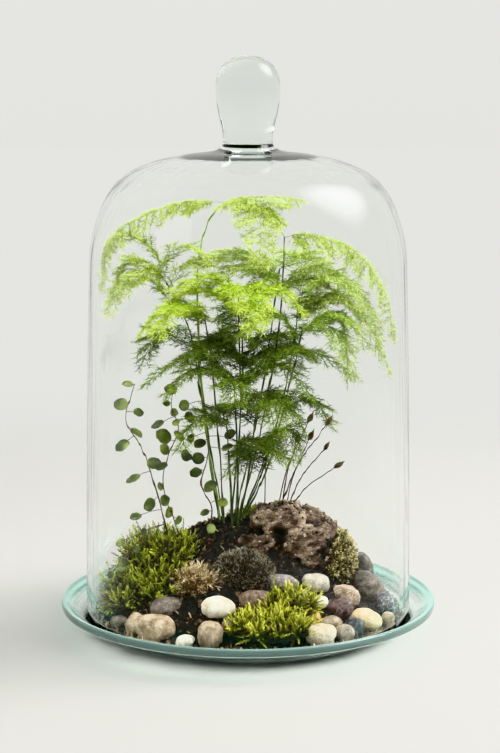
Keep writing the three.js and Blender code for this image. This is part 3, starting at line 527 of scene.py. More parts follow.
def roughen(piece, heights):
    """Moves each point of a piece along its normal by heights(point in mm), and gives back the moves."""
    data = piece.data
    moves = [heights(v.co / MM) for v in data.vertices]
    normals = [Vector(n.vector) for n in data.vertex_normals]
    for vertex, move, normal in zip(data.vertices, moves, normals):
        vertex.co += normal * move * MM
    return moves


for number, (node, look) in enumerate(STONES.items()):
    slot = node.replace("pebble", "stone")
    # The bean's solid is finer than the others, so it needs only one round of smoothing.
    levels = 1 if node == "pebble_bean" else 2
    pebble = copy_of(node, "river_" + slot, stone(slot, *look, VEINED.get(node)), levels)
    roughen(pebble, lambda p, n=number: noise.fractal(p * 0.11 + Vector((n, 0, 0)), 1.0, 2.0, 3))
    rest_on_plate(pebble)
    place(pebble, slot, node)


# Bark: a chunk of rotten softwood bark, soft and stringy, with deep pits between its fibres. It
# stands on the mound behind the stones and leans to the left.
GRAIN_LEAN = math.radians(28)
# Heights (mm) between which painted shade darkens the bark towards its foot.
SHADE_FULL_UNDER = 46
SHADE_GONE_OVER = 68


def bark_height(point):
    """Relief of the bark in mm: torn fibres along the grain, cracks across it and rotten pits."""
    p = Matrix.Rotation(GRAIN_LEAN, 3, "Y") @ point
    torn = noise.ridged_multi_fractal(Vector((p.x * 0.05, p.y * 0.14, p.z * 0.22)), 0.6, 2.1, 5, 1.0, 2.0)
    broken = noise.ridged_multi_fractal(p * 0.09 + Vector((9, 4, 2)), 0.6, 2.3, 4, 1.0, 2.0)
    lumps = noise.fractal(p * 0.05, 1.0, 2.0, 3)
    pits = max(0.0, noise.noise(Vector((p.x * 0.07, p.y * 0.09, p.z * 0.1)) + Vector((3, 7, 1))) - 0.1)
    return 2.0 * (torn - 1.2) + 1.5 * (broken - 1.2) + 2.8 * lumps - 19 * pits


def rotten_bark():
    """Bark colour goes by depth, as painted shade: near black in the pits, then umber, and pale fibres on the
    ridges.
    """
    made, tree, coords = new_material("rotten_softwood_bark")
    depth = add(tree, "ShaderNodeAttribute", attribute_name="height")
    # Fibres are 2 to 3 mm wide and about 11 mm long, and the grit between them is about 1 mm.
    turn = add(tree, "ShaderNodeMapping",
               {"Vector": coords, "Rotation": (0, GRAIN_LEAN, 0), "Scale": (90, 330, 500)})
    fibres = add(tree, "ShaderNodeTexNoise", {"Vector": turn, "Scale": 1, "Detail": 6, "Roughness": 0.7})
    grit = add(tree, "ShaderNodeTexNoise", {"Vector": coords, "Scale": 900, "Detail": 3})
    mixed = add(tree, "ShaderNodeMix", {0: 0.4, 2: fibres, 3: grit}, data_type="FLOAT")
    # Painted shade: the deeper a point lies in a pit, the darker its colour.
    both = add(tree, "ShaderNodeMix", {0: 0.45, 2: mixed, 3: depth.outputs["Fac"]}, data_type="FLOAT")
    # Painted shade: the bark is darker towards its foot, where it stands in shadow low among the plants.
    height = add(tree, "ShaderNodeSeparateXYZ", {0: coords})
    painted_low_shade = add(tree, "ShaderNodeMapRange",
               {0: height.outputs["Z"], 1: SHADE_FULL_UNDER * MM, 2: SHADE_GONE_OVER * MM, 3: -0.085, 4: 0.0},
               interpolation_type="SMOOTHSTEP")
    shade = add(tree, "ShaderNodeMath", {0: both, 1: painted_low_shade}, operation="ADD")
    colour = add(tree, "ShaderNodeValToRGB", {"Fac": shade},
                 stops=[(0.28, "#060403"), (0.4, "#251A13"), (0.5, "#59463A"), (0.6, "#8F7B68"),
                        (0.72, "#CBBBA5")])
    relief = add(tree, "ShaderNodeBump", {"Strength": 1.0, "Distance": 1.8 * MM, "Height": mixed})
    surface = add(tree, "ShaderNodeBsdfPrincipled",
                  {"Base Color": colour, "Roughness": 0.9, "Normal": relief})
    add(tree, "ShaderNodeOutputMaterial", {"Surface": surface})
    return made


def store(piece, name, values):
    """Keeps one number for each point, for the material to read."""
    layer = piece.data.attributes.new(name, "FLOAT", "POINT")
    layer.data.foreach_set("value", values)


bark = copy_of("bark", "bark_chunk", rotten_bark(), 3)
relief = roughen(bark, bark_height)
# How far each point was moved in or out, kept for the painted shade in the pits.
store(bark, "height", [min(1, max(0, 0.5 + 0.1 * move)) for move in relief])
# Its torn face is loose, and carries crumbs and short splinters of its own wood.
splinter = crumb_pattern("bark_splinter", (0.9, 0.7, 1.3))
splinter_brown = mottled("bark_splinters", "#17100B", "#584636", "#B09E89", 3, tint=0.9)
use_tree(bark, strewing, {"Piece": splinter, "Material": splinter_brown, "Density": 4.5e4, "Smallest": 0.3,
                          "Largest": 1.3, "Upright": 0.0, "Tilt": 1.6, "Steepest": -0.6, "Seed": 14})
place(bark, "bark", "bark")


# Mosses: each clump is many small leafy shoots that grow out of a dense brown mat of old ones, darkened
# further with painted shade deep in the clump.
# The bright feather moss has long loose shoots, the cushion moss very short and dense ones.
def shoot_pattern(name, length, leaves, leaf_length, leaf_width, spread):
    """One moss shoot: a spiral of small keeled, pointed leaves that close up towards the tip."""
    corners, faces, tips = [], [], []
    for i in range(leaves):
        share = (i + 0.5) / leaves
        around = i * 2.4
        out = Vector((math.cos(around), math.sin(around), 0))
        side = Vector((-out.y, out.x, 0))
        root = Vector((0, 0, length * share * 0.85))
        long = leaf_length * (1.1 - 0.5 * share)
        rise = math.radians(spread * (1.1 - 0.75 * share))
        way = out * math.sin(rise) + Vector((0, 0, math.cos(rise)))
        keel = way.cross(side).normalized() * leaf_width * 0.35
        start = len(corners)
        corners += [root, root + way * long * 0.4 + side * leaf_width / 2 + keel, root + way * long,
                    root + way * long * 0.4 - side * leaf_width / 2 + keel]
        faces += [[start + k for k in one] for one in ((0, 2, 1), (0, 3, 2), (0, 1, 3), (1, 2, 3))]
        tips += [share * 0.7, share * 0.75 + 0.1, share * 0.75 + 0.25, share * 0.75 + 0.1]
    made = pattern_piece(name, corners, faces)
    store(made, "tip", tips)
    return made


def leafy(name, base, middle, tip, gloss=0.45, shift=0.35, patch=0.0):
    """Living leaves: base to tip colours along the shoot, a tint for each shoot, and lighter patches."""
    made, tree, coords = new_material(name)
    # The darker base and paler tip are partly the leaves' own age and partly painted light and shade: painted
    # shade low among the shoots, painted light on the tips.
    along = add(tree, "ShaderNodeAttribute", attribute_name="tip")
    own = add(tree, "ShaderNodeAttribute", attribute_name="tint")
    moved = add(tree, "ShaderNodeMath", {0: own.outputs["Fac"], 1: shift, 2: along.outputs["Fac"]},
                operation="MULTIPLY_ADD")
    patches = add(tree, "ShaderNodeTexNoise", {"Vector": coords, "Scale": 1 / (9 * MM), "Detail": 2})
    wide = add(tree, "ShaderNodeMath", {0: patches, 1: patch, 2: moved}, operation="MULTIPLY_ADD")
    middled = add(tree, "ShaderNodeMath", {0: wide, 1: 0.5 * (shift + patch)}, operation="SUBTRACT")
    colour = add(tree, "ShaderNodeValToRGB", {"Fac": middled},
                 stops=[(0.08, base), (0.5, middle), (0.98, tip)])
    surface = add(tree, "ShaderNodeBsdfPrincipled",
                  {"Base Color": colour, "Roughness": gloss, "Specular IOR Level": 0.25})
    add(tree, "ShaderNodeOutputMaterial", {"Surface": surface})
    return made


MOSSES = {
    # node: core colours, shoot pattern, shoot colours,
    #       shoots per square mm, smallest, largest, upright, tilt, humps and depth of the core (mm)
    "moss_left": (("#0A0A04", "#1C1A09", "#3A3512"), ("feather_shoot", 11.5, 14, 2.9, 0.75, 44),
                  ("#17170A", "#6A7312", "#D6DC58"), (0.15, 0.45, 1.3, 0.45, 1.0), (3.2, 3.8)),
    "moss_front": (("#0A0904", "#1F1A09", "#403612"), ("front_shoot", 10.5, 13, 2.9, 0.75, 44),
                   ("#1B190A", "#7E8214", "#EEEB70"), (0.21, 0.45, 1.3, 0.45, 0.9), (2.6, 3.0)),
    "moss_cushion": (("#070605", "#17120D", "#2B231B"), ("cushion_shoot", 2.4, 4, 2.5, 0.3, 40),
                     ("#0D0A07", "#3E3529", "#BFB59E"), (1.05, 0.65, 1.5, 0.0, 0.5), (0.0, 0.8)),
    "moss_dry": (("#140D07", "#3A2816", "#6A5032"), ("dry_shoot", 9.0, 7, 4.4, 0.5, 62),
                 ("#22150B", "#9A784A", "#F2E4BE"), (0.5, 0.6, 1.4, 0.1, 1.3), (1.5, 2.5)),
    "moss_back": (("#12140A", "#2C310C", "#4A5216"), ("back_shoot", 4.5, 7, 2.2, 0.8, 55),
                  ("#1E2208", "#6A7414", "#B4B840"), (0.5, 0.6, 1.3, 0.5, 0.6), (1.5, 1.5)),
    "moss_on_bark": (("#0C0805", "#2A1D0F", "#4A3E1C"), ("bark_shoot", 3.8, 6, 2.2, 0.7, 58),
                     ("#1D1409", "#72642F", "#E4DAA2"), (0.46, 0.6, 1.4, 0.35, 0.9), (2.2, 2.2)),
}

PRESSED_FROM = 101
PRESSED_TO = 104.2


def press_inside(piece):
    """Shoots and leaves that lean on the bell's wall are bent back a little, short of the glass."""
    room = PRESSED_TO - PRESSED_FROM
    for vertex in piece.data.vertices:
        radius = math.hypot(vertex.co.x, vertex.co.y) / MM
        if radius > PRESSED_FROM:
            held = PRESSED_FROM + room * (1 - math.exp((PRESSED_FROM - radius) / room))
            vertex.co.x *= held / radius
            vertex.co.y *= held / radius


def humps(number, hump, depth):
    """Loose moss grows in humps with darker hollows between them, and its shoots stand on an older mat."""
    shift = Vector((0, 0, 5 * number))
    return lambda p: hump * noise.fractal(p * 0.075 + shift, 1.0, 2.0, 2) - depth


for number, (node, (core, shoot, colours, strewn, uneven)) in enumerate(MOSSES.items()):
    density, small, large, upright, tilt = strewn
    # The old mat under the shoots is near black: partly its own brown and partly painted shade deep in the
    # clump.
    mat = mottled(node + "_old_growth_and_shade", *core, 3, bump=1.0)
    clump = copy_of(node, node.replace("moss", "moss_clump"), mat, 1)
    roughen(clump, humps(number, *uneven))
    use_tree(clump, strewing, {
        "Piece": shoot_pattern(*shoot), "Material": leafy(node + "_leaves", *colours, 0.5, 0.6, 0.9),
        "Density": density * 1e6, "Smallest": small, "Largest": large, "Upright": upright, "Tilt": tilt,
        "Steepest": -0.35, "Seed": 20 + number,
    })
    press_inside(clump)
    place(clump, node, node)


# Spore stalks: thin, wiry, red-brown stalks that rise from one small tuft behind the bark, each
# with a pointed capsule. Two bare stalks stand by them in the moss behind the stems.
def tube(points, radii, sides=6):
    """Corners and faces of a closed tube along points (mm). The radius runs from radii[0] to radii[1]."""
    corners, faces = [], []
    side = Vector((0, 0, 1)).cross(points[-1] - points[0])
    side = side.normalized() if side.length > 1e-6 else Vector((1, 0, 0))
    last = len(points) - 1
    for i, point in enumerate(points):
        way = (points[min(i + 1, last)] - points[max(i - 1, 0)]).normalized()
        side = (side - way * side.dot(way)).normalized()
        other = way.cross(side)
        radius = radii[0] + (radii[1] - radii[0]) * i / last
        for j in range(sides):
            angle = 2 * math.pi * j / sides
            corners.append(point + (side * math.cos(angle) + other * math.sin(angle)) * radius)
    for i in range(last):
        for j in range(sides):
            k = (j + 1) % sides
            faces.append((i * sides + j, i * sides + k, (i + 1) * sides + k, (i + 1) * sides + j))
    faces += [tuple(reversed(range(sides))), tuple(range(last * sides, (last + 1) * sides))]
    return corners, faces


def joined(name, bodies, material):
    """One object of several (corners, faces) bodies."""
    corners, faces = [], []
    for own_corners, own_faces in bodies:
        start = len(corners)
        corners += own_corners
        faces += [tuple(start + i for i in face) for face in own_faces]
    return mesh_piece(name, corners, faces, material)


def on_axis(outline, foot, way, sides=10):
    """A small turned body about a line that starts at foot along way."""
    turn = Vector((0, 0, 1)).rotation_difference(way)
    corners, faces = round_body(outline, sides)
    return [foot + turn @ Vector(corner) for corner in corners], faces


TUFT = Vector((24, 29, 69))
CAPSULES = [(40.5, 12, 138), (53, 18, 135), (32.5, 10, 125), (41.5, 22, 124), (51, 8, 120), (59, 16, 106)]
CAPSULE = [(0, -1), (0.5, -0.6), (1.15, 0.6), (1.75, 2.2), (1.7, 3.6), (1.25, 5.2), (0.55, 6.6), (0.2, 8.2),
           (0, 8.6)]
BARE_STALKS = [[(11, 31, 64), (11.5, 30, 88), (12, 30, 109)], [(5, 30, 64), (5.5, 29, 72), (5, 29, 79)]]

# Dry stalks and capsules keep a faint waxy sheen on their red-brown skin.
stalk_red = mottled("dry_seta", "#2A1510", "#5C3526", "#8E6048", 6, roughness=0.5, bump=0.1)
capsule_brown = mottled("spore_capsule", "#221A10", "#574529", "#8C7850", 3, roughness=0.45, bump=0.2)
stalks, capsules = [], []
for number, top in enumerate(CAPSULES):
    top = Vector(top)
    foot = TUFT + Vector((-4 + 1.6 * number, -1.5 + 1.5 * (number % 3), 3))
    knee = foot + Vector((0.35 * (top.x - foot.x), 0.3 * (top.y - foot.y), 0.5 * (top.z - foot.z)))
    stalks.append(tube(through([foot, knee, top], 8), (0.5, 0.32)))
    capsules.append(on_axis(CAPSULE, top, (top - knee).normalized()))
place(joined("spore_setae", stalks, stalk_red), "spore_stalks", "spore_stalks")
place(joined("spore_capsules", capsules, capsule_brown), "spore_stalks")
bare = [tube(through(points, 8), (0.5, 0.25)) for points in BARE_STALKS]
place(joined("bare_setae", bare, stalk_red), "spore_stalks")

tuft_core = on_axis([(0, -6), (6, -4), (8.5, 0), (7, 4), (3.5, 6.3), (0, 7)], TUFT, Vector((0, 0, 1)), 16)
# The tuft's old mat is near black too, partly its own brown and partly painted shade.
tuft = joined("spore_tuft", [tuft_core], mottled("tuft_old_growth_and_shade", "#171006", "#2E2410", "#4A421C", 3))
tuft_shoot = shoot_pattern("tuft_shoot", 5, 9, 2.2, 0.6, 55)
tuft_green = leafy("tuft_leaves", "#3A3A10", "#6F7A1E", "#A3AC3C")
use_tree(tuft, strewing, {"Piece": tuft_shoot, "Material": tuft_green, "Density": 0.45e6, "Smallest": 0.6,
                          "Largest": 1.2, "Upright": 0.7, "Tilt": 0.6, "Steepest": -0.2, "Seed": 41})
place(tuft, "moss_back")


# Vine: a small creeping wire vine. Its stems are thin and wiry, and its round leaves sit on short
# stalks and turn all ways. Their places are read from the photo and kept on the stems.
CAMERA_AT = Vector((1.3, -1300, 390))
CAMERA_PITCH = math.radians(9.58)
FOCAL_PIXELS = 1995
PHOTO_SIZE = (500, 753)


def photo_point(u, v, depth):
    """The point (mm) at this pixel of the photo, on the upright plane y = depth."""
    right = (u - PHOTO_SIZE[0] / 2) / FOCAL_PIXELS
    down = (v - PHOTO_SIZE[1] / 2) / FOCAL_PIXELS
    way = Vector((right, math.cos(CAMERA_PITCH) - down * math.sin(CAMERA_PITCH),
                  -math.sin(CAMERA_PITCH) - down * math.cos(CAMERA_PITCH)))
    return CAMERA_AT + way * ((depth - CAMERA_AT.y) / way.y)


VINES = {
    # node: (stem points, its leaves' middles in the photo's pixels with their radius in mm)
    "vine_left": (
        [(-50, -14), (-60, -21, 98), (-65, -23, 116), (-70, -24, 129), (-79, -25, 147), (-73, -24, 170)],
        [(128.5, 383.6, 3.8), (121.5, 404, 5.6), (139, 412, 4), (137, 432, 5.2), (123, 445, 5.4),
         (154, 463, 5.4), (162, 466, 4.8), (134, 478, 5.2), (150, 504, 5.4), (165, 500, 4.8),
         (136, 516, 4.2), (144, 532, 3.6), (121, 542, 3.8)],
    ),
    "vine_middle": (
        [(-44, -6), (-56, -10, 98), (-53, -13, 118), (-46, -14, 138), (-50, -14, 154), (-47, -14, 167)],
        [(171, 389, 4.6), (167, 403, 2.8), (158, 424, 4.8), (164, 436, 6.2), (174, 412, 3.4), (179, 435, 4.8),
         (165, 449, 4.4), (186, 455, 5), (176, 422, 3.2), (169, 512, 4.6), (178, 520, 4.4), (181, 537, 3.6),
         (160, 486, 3.4)],
    ),
    "vine_right": (
        [(-26, -7), (-24, -8, 84), (-31, -10, 100), (-27, -10, 118), (-26, -12, 133), (-33, -14, 170)],
        [(184, 405, 4.6), (190, 417, 5.2), (191, 438, 3.4), (200, 443, 4.6), (198, 458, 5), (196, 472, 4.6),
         (210, 486, 5.4), (230, 434, 4.6), (227, 447, 4.4), (211, 528, 4), (223, 502, 4.4), (205, 512, 3.6)],
    ),
    "vine_runner": (
        [(-61, -17), (-67, -24, 67), (-78, -31, 59), (-89, -36, 45), (-94, -37, 30)],
        [(124, 562, 3.8), (112, 574, 3), (103, 592, 3.2), (137, 549, 3.2)],
    ),
}
LEAF_SPREAD = 5
LEAF_THICK = 0.35
LEAF_CUP = 0.12
LEAF_SHRINK = 0.86


def round_leaf(root, centre, radius, face):
    """A stalk from the stem, and a thin, slightly cupped round leaf about its centre."""
    reach = centre - root
    across = reach.cross(face).normalized() if reach.cross(face).length > 1e-3 else Vector((1, 0, 0))
    along = face.cross(across).normalized()
    if along.dot(reach) < 0:
        along.negate()
    edge = centre - along * radius
    stalk = tube([root, root.lerp(edge, 0.5) + Vector((0, 0, 0.4)), edge + along * 0.5], (0.24, 0.2), 4)
    corners, faces = [centre - face * LEAF_CUP * radius], []
    rings, around = (0.4, 0.75, 1.0), 14
    for share in rings:
        for i in range(around):
            angle = 2 * math.pi * i / around
            # A leaf is a little longer than wide, and comes to a soft point at its tip.
            long = radius * share * (1.06 if abs(angle) > 1e-6 else 1.16)
            spot = along * math.cos(angle) * long + across * math.sin(angle) * radius * share * 0.94
            fold = 0.10 * abs(math.sin(angle)) * share + 0.10 * share**2
            corners.append(centre + spot + face * radius * (fold - LEAF_CUP))
    for i in range(around):
        j = (i + 1) % around
        faces.append((0, 1 + i, 1 + j))
        for ring in range(len(rings) - 1):
            a, b = 1 + ring * around, 1 + (ring + 1) * around
            faces.append((a + i, b + i, b + j, a + j))
    count = len(corners)
    corners += [corner - face * LEAF_THICK for corner in corners]
    faces += [tuple(reversed([count + k for k in one])) for one in faces]
    rim = 1 + (len(rings) - 1) * around
    for i in range(around):
        j = (i + 1) % around
        faces.append((rim + i, rim + j, count + rim + j, count + rim + i))
    return stalk, (corners, faces)


def veined_leaf(name, dark, body, light, size):
    """A thick, satin leaf. Its patches are wider than one leaf (size, mm), so that no two look the same."""
    made, tree, coords = new_material(name)
    wide = add(tree, "ShaderNodeTexNoise", {"Vector": coords, "Scale": 1 / (2.5 * size * MM), "Detail": 2})
    fine = add(tree, "ShaderNodeTexNoise", {"Vector": coords, "Scale": 1 / (0.4 * MM), "Detail": 3})
    both = add(tree, "ShaderNodeMix", {0: 0.3, 2: wide, 3: fine}, data_type="FLOAT")
    colour = add(tree, "ShaderNodeValToRGB", {"Fac": both},
                 stops=[(0.36, dark), (0.5, body), (0.64, light)])
    relief = add(tree, "ShaderNodeBump", {"Strength": 0.3, "Distance": 0.2 * MM, "Height": fine})
    surface = add(tree, "ShaderNodeBsdfPrincipled",
                  {"Base Color": colour, "Roughness": 0.4, "Normal": relief})
    add(tree, "ShaderNodeOutputMaterial", {"Surface": surface})
    return made


ROOT_DEPTH = 6
COLLAR = 2


def stem_path(points, steps=10):
    """A stem's smooth path, from its foot in the soil up through its points."""
    (x, y), *above = points
    ground = soil_height(x, y)
    return through([(x, y, ground - ROOT_DEPTH), (x, y, ground + COLLAR), *above], steps)


# The stems are dark, brown and woody, and the leaves a deep green with a satin skin.
vine_stem = mottled("wiry_vine_stem", "#22150D", "#523626", "#86644A", 4, roughness=0.5, bump=0.2)
vine_leaf = veined_leaf("round_vine_leaf", "#1D260D", "#47561F", "#94A24C", 5)
for number, (node, (points, leaves)) in enumerate(VINES.items()):
    draw = random.Random(60 + number)
    path = stem_path(points)
    wires, blades = [tube(path, (0.5, 0.3))], []
    for u, v, radius in leaves:
        depth = points[-1][1] + draw.uniform(-LEAF_SPREAD, LEAF_SPREAD)
        centre = photo_point(u, v, depth)
        root = min(path[8:], key=lambda p, c=centre: (p - c).length)
        face = Vector((draw.uniform(-0.9, 0.9), -draw.uniform(0.25, 1), draw.uniform(-0.1, 1.1)))
        stalk, blade = round_leaf(root, centre, radius * LEAF_SHRINK, face.normalized())
        wires.append(stalk)
        blades.append(blade)
    place(joined(node + "_stem", wires, vine_stem), "vine_leaf", node)
    foliage = joined(node + "_leaves", blades, vine_leaf)
    press_inside(foliage)
    place(foliage, "vine_leaf")


# Fern: an asparagus fern. Wiry stems rise from one crown and end in flat, almost level sprays.
# Every rib carries side twigs in one plane, set all along with hair-fine needles 3 to 5 mm long.
# The sprays higher up get lighter greens and the top ones lime, partly their young growth and partly painted
# light where light shines through them; the low and back sprays get the darkest greens as painted shade.
LIME = ("#6F8024", "#A2B342", "#CBD97E")
BRIGHT = ("#506C0A", "#88A61A", "#C6D464")
PALE = ("#667C22", "#A0B442", "#D6E28C")
FRESH = ("#566E24", "#90A648", "#C8D488")
LEAF = ("#3A5A14", "#708C32", "#AEBE60")
PAINTED_SHADE_GREENS = ("#0E1506", "#385010", "#8AA040")
# Each spray has a habit: droop, mm between side twigs, lean of these, the longest twig on them, and
# how steeply they may fall and rise.
COMB = (0.006, 7.6, math.radians(62), 4.0, (-1.1, -0.3))
PLUME = (0.004, 4.6, math.radians(48), 3.5, (-0.8, 0.5))
LOOSE = (0.010, 5.0, math.radians(50), 6.5, (-0.4, 0.3))
DENSE = (0.010, 4.4, math.radians(50), 9.0, (-0.35, 0.3))
HANGING = (0.004, 4.2, math.radians(66), 3.6, (-0.35, 0.3))
SMALL_TWIG_GAP = 3.3
NEEDLE = 4.2
RIB_STEPS = 12
TWIG_STEPS = 5


def needle_tree():
    """Grows fine twigs along the edges of a sketch, and needles all along those marked as leafy."""
    tree, given = new_tree("needled_twigs", [
        ("Twig radius", "Float", 0.17 * MM), ("Needle length", "Float", NEEDLE * MM),
        ("Needle width", "Float", 0.24 * MM), ("Gap", "Float", 2.15 * MM), ("Needles a knot", "Int", 3),
        ("Rise and fall", "Float", 0.55), ("Material", "Material", None), ("Seed", "Int", 1),
    ])
    marked = add(tree, "GeometryNodeInputNamedAttribute", {"Name": "leafy"}, data_type="BOOLEAN")
    lines = add(tree, "GeometryNodeMeshToCurve", {"Mesh": given["Geometry"]})
    ring = add(tree, "GeometryNodeCurvePrimitiveCircle", {"Resolution": 3, "Radius": given["Twig radius"]})
    twigs = add(tree, "GeometryNodeCurveToMesh", {"Curve": lines, "Profile Curve": ring, "Fill Caps": True})
    leafy_lines = add(tree, "GeometryNodeMeshToCurve", {"Mesh": given["Geometry"], "Selection": marked})
    knots = add(tree, "GeometryNodeCurveToPoints", {"Curve": leafy_lines, "Length": given["Gap"]},
                mode="LENGTH")
    way = add(tree, "GeometryNodeStoreNamedAttribute",
              {"Geometry": knots.outputs["Points"], "Name": "way", "Value": knots.outputs["Tangent"]},
              data_type="FLOAT_VECTOR", domain="POINT")
    many = add(tree, "GeometryNodeDuplicateElements",
               {"Geometry": way, "Amount": given["Needles a knot"]}, domain="POINT")
    along = add(tree, "GeometryNodeInputNamedAttribute", {"Name": "way"}, data_type="FLOAT_VECTOR")
    loose = add(tree, "FunctionNodeRandomValue", {0: (-1, -1, -1), 1: (1, 1, 1), "Seed": given["Seed"]},
                data_type="FLOAT_VECTOR")
    flatness = add(tree, "ShaderNodeCombineXYZ", {"X": 1.0, "Y": 1.0, "Z": given["Rise and fall"]})
    spread = add(tree, "ShaderNodeVectorMath", {0: loose, 1: flatness}, operation="MULTIPLY")
    forward = add(tree, "ShaderNodeVectorMath", {0: along.outputs["Attribute"], "Scale": 0.8},
                  operation="SCALE")
    aim = add(tree, "ShaderNodeVectorMath", {0: forward, 1: spread}, operation="ADD")
    turn = add(tree, "FunctionNodeAlignEulerToVector", {"Vector": aim}, axis="Z")
    needle = add(tree, "GeometryNodeMeshCone",
                 {"Vertices": 3, "Side Segments": 1, "Radius Top": 0.0,
                  "Radius Bottom": given["Needle width"], "Depth": given["Needle length"]},
                 fill_type="NGON")
    size = add(tree, "FunctionNodeRandomValue", {2: 0.6, 3: 1.15, "Seed": 5}, data_type="FLOAT")
    needles = add(tree, "GeometryNodeInstanceOnPoints",
                  {"Points": many.outputs["Geometry"], "Instance": needle.outputs["Mesh"], "Rotation": turn,
                   "Scale": size.outputs[1]})
    own = add(tree, "FunctionNodeRandomValue", {2: 0.0, 3: 1.0, "Seed": 13}, data_type="FLOAT")
    tinted = add(tree, "GeometryNodeStoreNamedAttribute",
                 {"Geometry": needles, "Name": "tint", "Value": own.outputs[1]}, data_type="FLOAT",
                 domain="INSTANCE")
    both = add(tree, "GeometryNodeJoinGeometry", {0: twigs})
    tree.links.new(tinted.outputs[0], both.inputs[0])
    real = add(tree, "GeometryNodeRealizeInstances", {0: both})
    dressed = add(tree, "GeometryNodeSetMaterial", {"Geometry": real, "Material": given["Material"]})
    add(tree, "NodeGroupOutput", {0: dressed})
    return tree


needled_twigs = needle_tree()
# The room under the bell as (radius, height), from the ceiling down.
BELL_INSIDE = [(0, 311), (42, 310), (62, 305), (77, 298), (87, 289), (94.5, 275), (99.8, 255), (101.5, 228),
               (103, 160), (104, 14)]


def room_inside(height):
    """The bell's inner radius (mm) at a height."""
    for (r0, z0), (r1, z1) in zip(BELL_INSIDE, BELL_INSIDE[1:]):
        if z1 <= height <= z0:
            return r0 + (r1 - r0) * (z0 - height) / (z0 - z1)
    return 0


def clear_part(points):
    """The first points of a line, as far as they and their needles stay clear of the glass."""
    kept = []
    for point in points:
        if math.hypot(point.x, point.y) > room_inside(point.z + NEEDLE) - NEEDLE:
            break
        kept.append(point)
    return kept


def spray_sketch(sketch, rib, reach, habit, draw):
    """Adds one spray: an arched rib, side twigs that rise and fall about its plane, and their twigs."""
    droop, gap, slant, longest, lifts = habit
    path = through(rib, RIB_STEPS)
    length = sum((b - a).length for a, b in zip(path, path[1:]))
    heading = path[-1] - path[0]
    heading.z = 0
    across = Vector((0, 0, 1)).cross(heading).normalized()

    def on_rib(s):
        """The point, direction and upward normal s mm along the rib."""
        share = min(1, max(0, s / length)) * (len(path) - 1)
        i = min(int(share), len(path) - 2)
        way = (path[i + 1] - path[i]).normalized()
        return path[i].lerp(path[i + 1], share - i), way, way.cross(across)

    def grow_line(points, needled, young):
        """Adds the part of a line that stays clear of the glass."""
        kept = clear_part(points)
        if len(kept) > 1:
            sketch.append((kept, needled, young))

    grow_line([on_rib(length * i / 20)[0] for i in range(21)], False, 0.1)
    # The young combs and plumes have needles close together all along the rib, the others at its end.
    starts = (0.12, 0.13, 0.14, 0.15) if habit in (COMB, PLUME) else (0.6,)
    for bare in starts:
        grow_line([on_rib(length * (bare + (1 - bare) * i / 12))[0] for i in range(13)], True, 0.8)
    first = 0.11 * length if habit is COMB else 2
    for i in range(int(2 * (length - 1 - first) / gap)):
        s = first + i * gap / 2
        start, way, up = on_rib(s)
        side = across * (1 if i % 2 else -1)
        long = reach * (1 - 0.75 * (s / length) ** 1.5) * draw.uniform(0.75, 1.1)
        long *= 0.6 + 0.4 * min(1, s / (0.2 * length))
        lean = slant * draw.uniform(0.85, 1.15)
        lift = draw.uniform(*lifts)
        flat = way * math.cos(lean) + side * math.sin(lean)
        out = flat * math.cos(lift) + up * math.sin(lift)
        twig = []
        for k in range(TWIG_STEPS + 1):
            far = long * k / TWIG_STEPS
            fall = Vector((0, 0, droop * far * far))
            twig.append(start + out * far + way * 0.10 * far * k / TWIG_STEPS - fall)
        young = 0.25 + 0.5 * s / length
        grow_line(twig, True, young)
        small = int(long / SMALL_TWIG_GAP)
        for k in range(1, 2 * small):
            share = k / (2 * small)
            at = share * TWIG_STEPS
            low = min(int(at), TWIG_STEPS - 1)
            root = twig[low].lerp(twig[low + 1], at - low)
            ahead = (twig[low + 1] - twig[low]).normalized()
            beside = ahead.cross(up).normalized() * (1 if k % 2 else -1)
            short = min(longest, 0.4 * long * (1 - share) + 2) * draw.uniform(0.7, 1.15)
            raised = up * draw.uniform(-0.4, 0.35)
            tip = root + (ahead * 0.75 + beside * 0.66 + raised).normalized() * short
            grow_line([root, tip - Vector((0, 0, 0.02 * short * short))], True, young + 0.25)


def sketch_piece(name, sketch):
    """The sketch's lines as one object of loose edges, with how leafy and how young each one is."""
    corners, edges, marks, ages = [], [], [], []
    for line, leafy_line, young in sketch:
        start = len(corners)
        corners += [tuple(p * MM) for p in line]
        edges += [(start + i, start + i + 1) for i in range(len(line) - 1)]
        marks += [leafy_line] * (len(line) - 1)
        ages += [young + 0.2 * i / len(line) for i in range(len(line))]
    data = bpy.data.meshes.new(name)
    data.from_pydata(corners, edges, [])
    layer = data.attributes.new("leafy", "BOOLEAN", "EDGE")
    layer.data.foreach_set("value", marks)
    made = linked(name, data)
    store(made, "tip", ages)
    return made


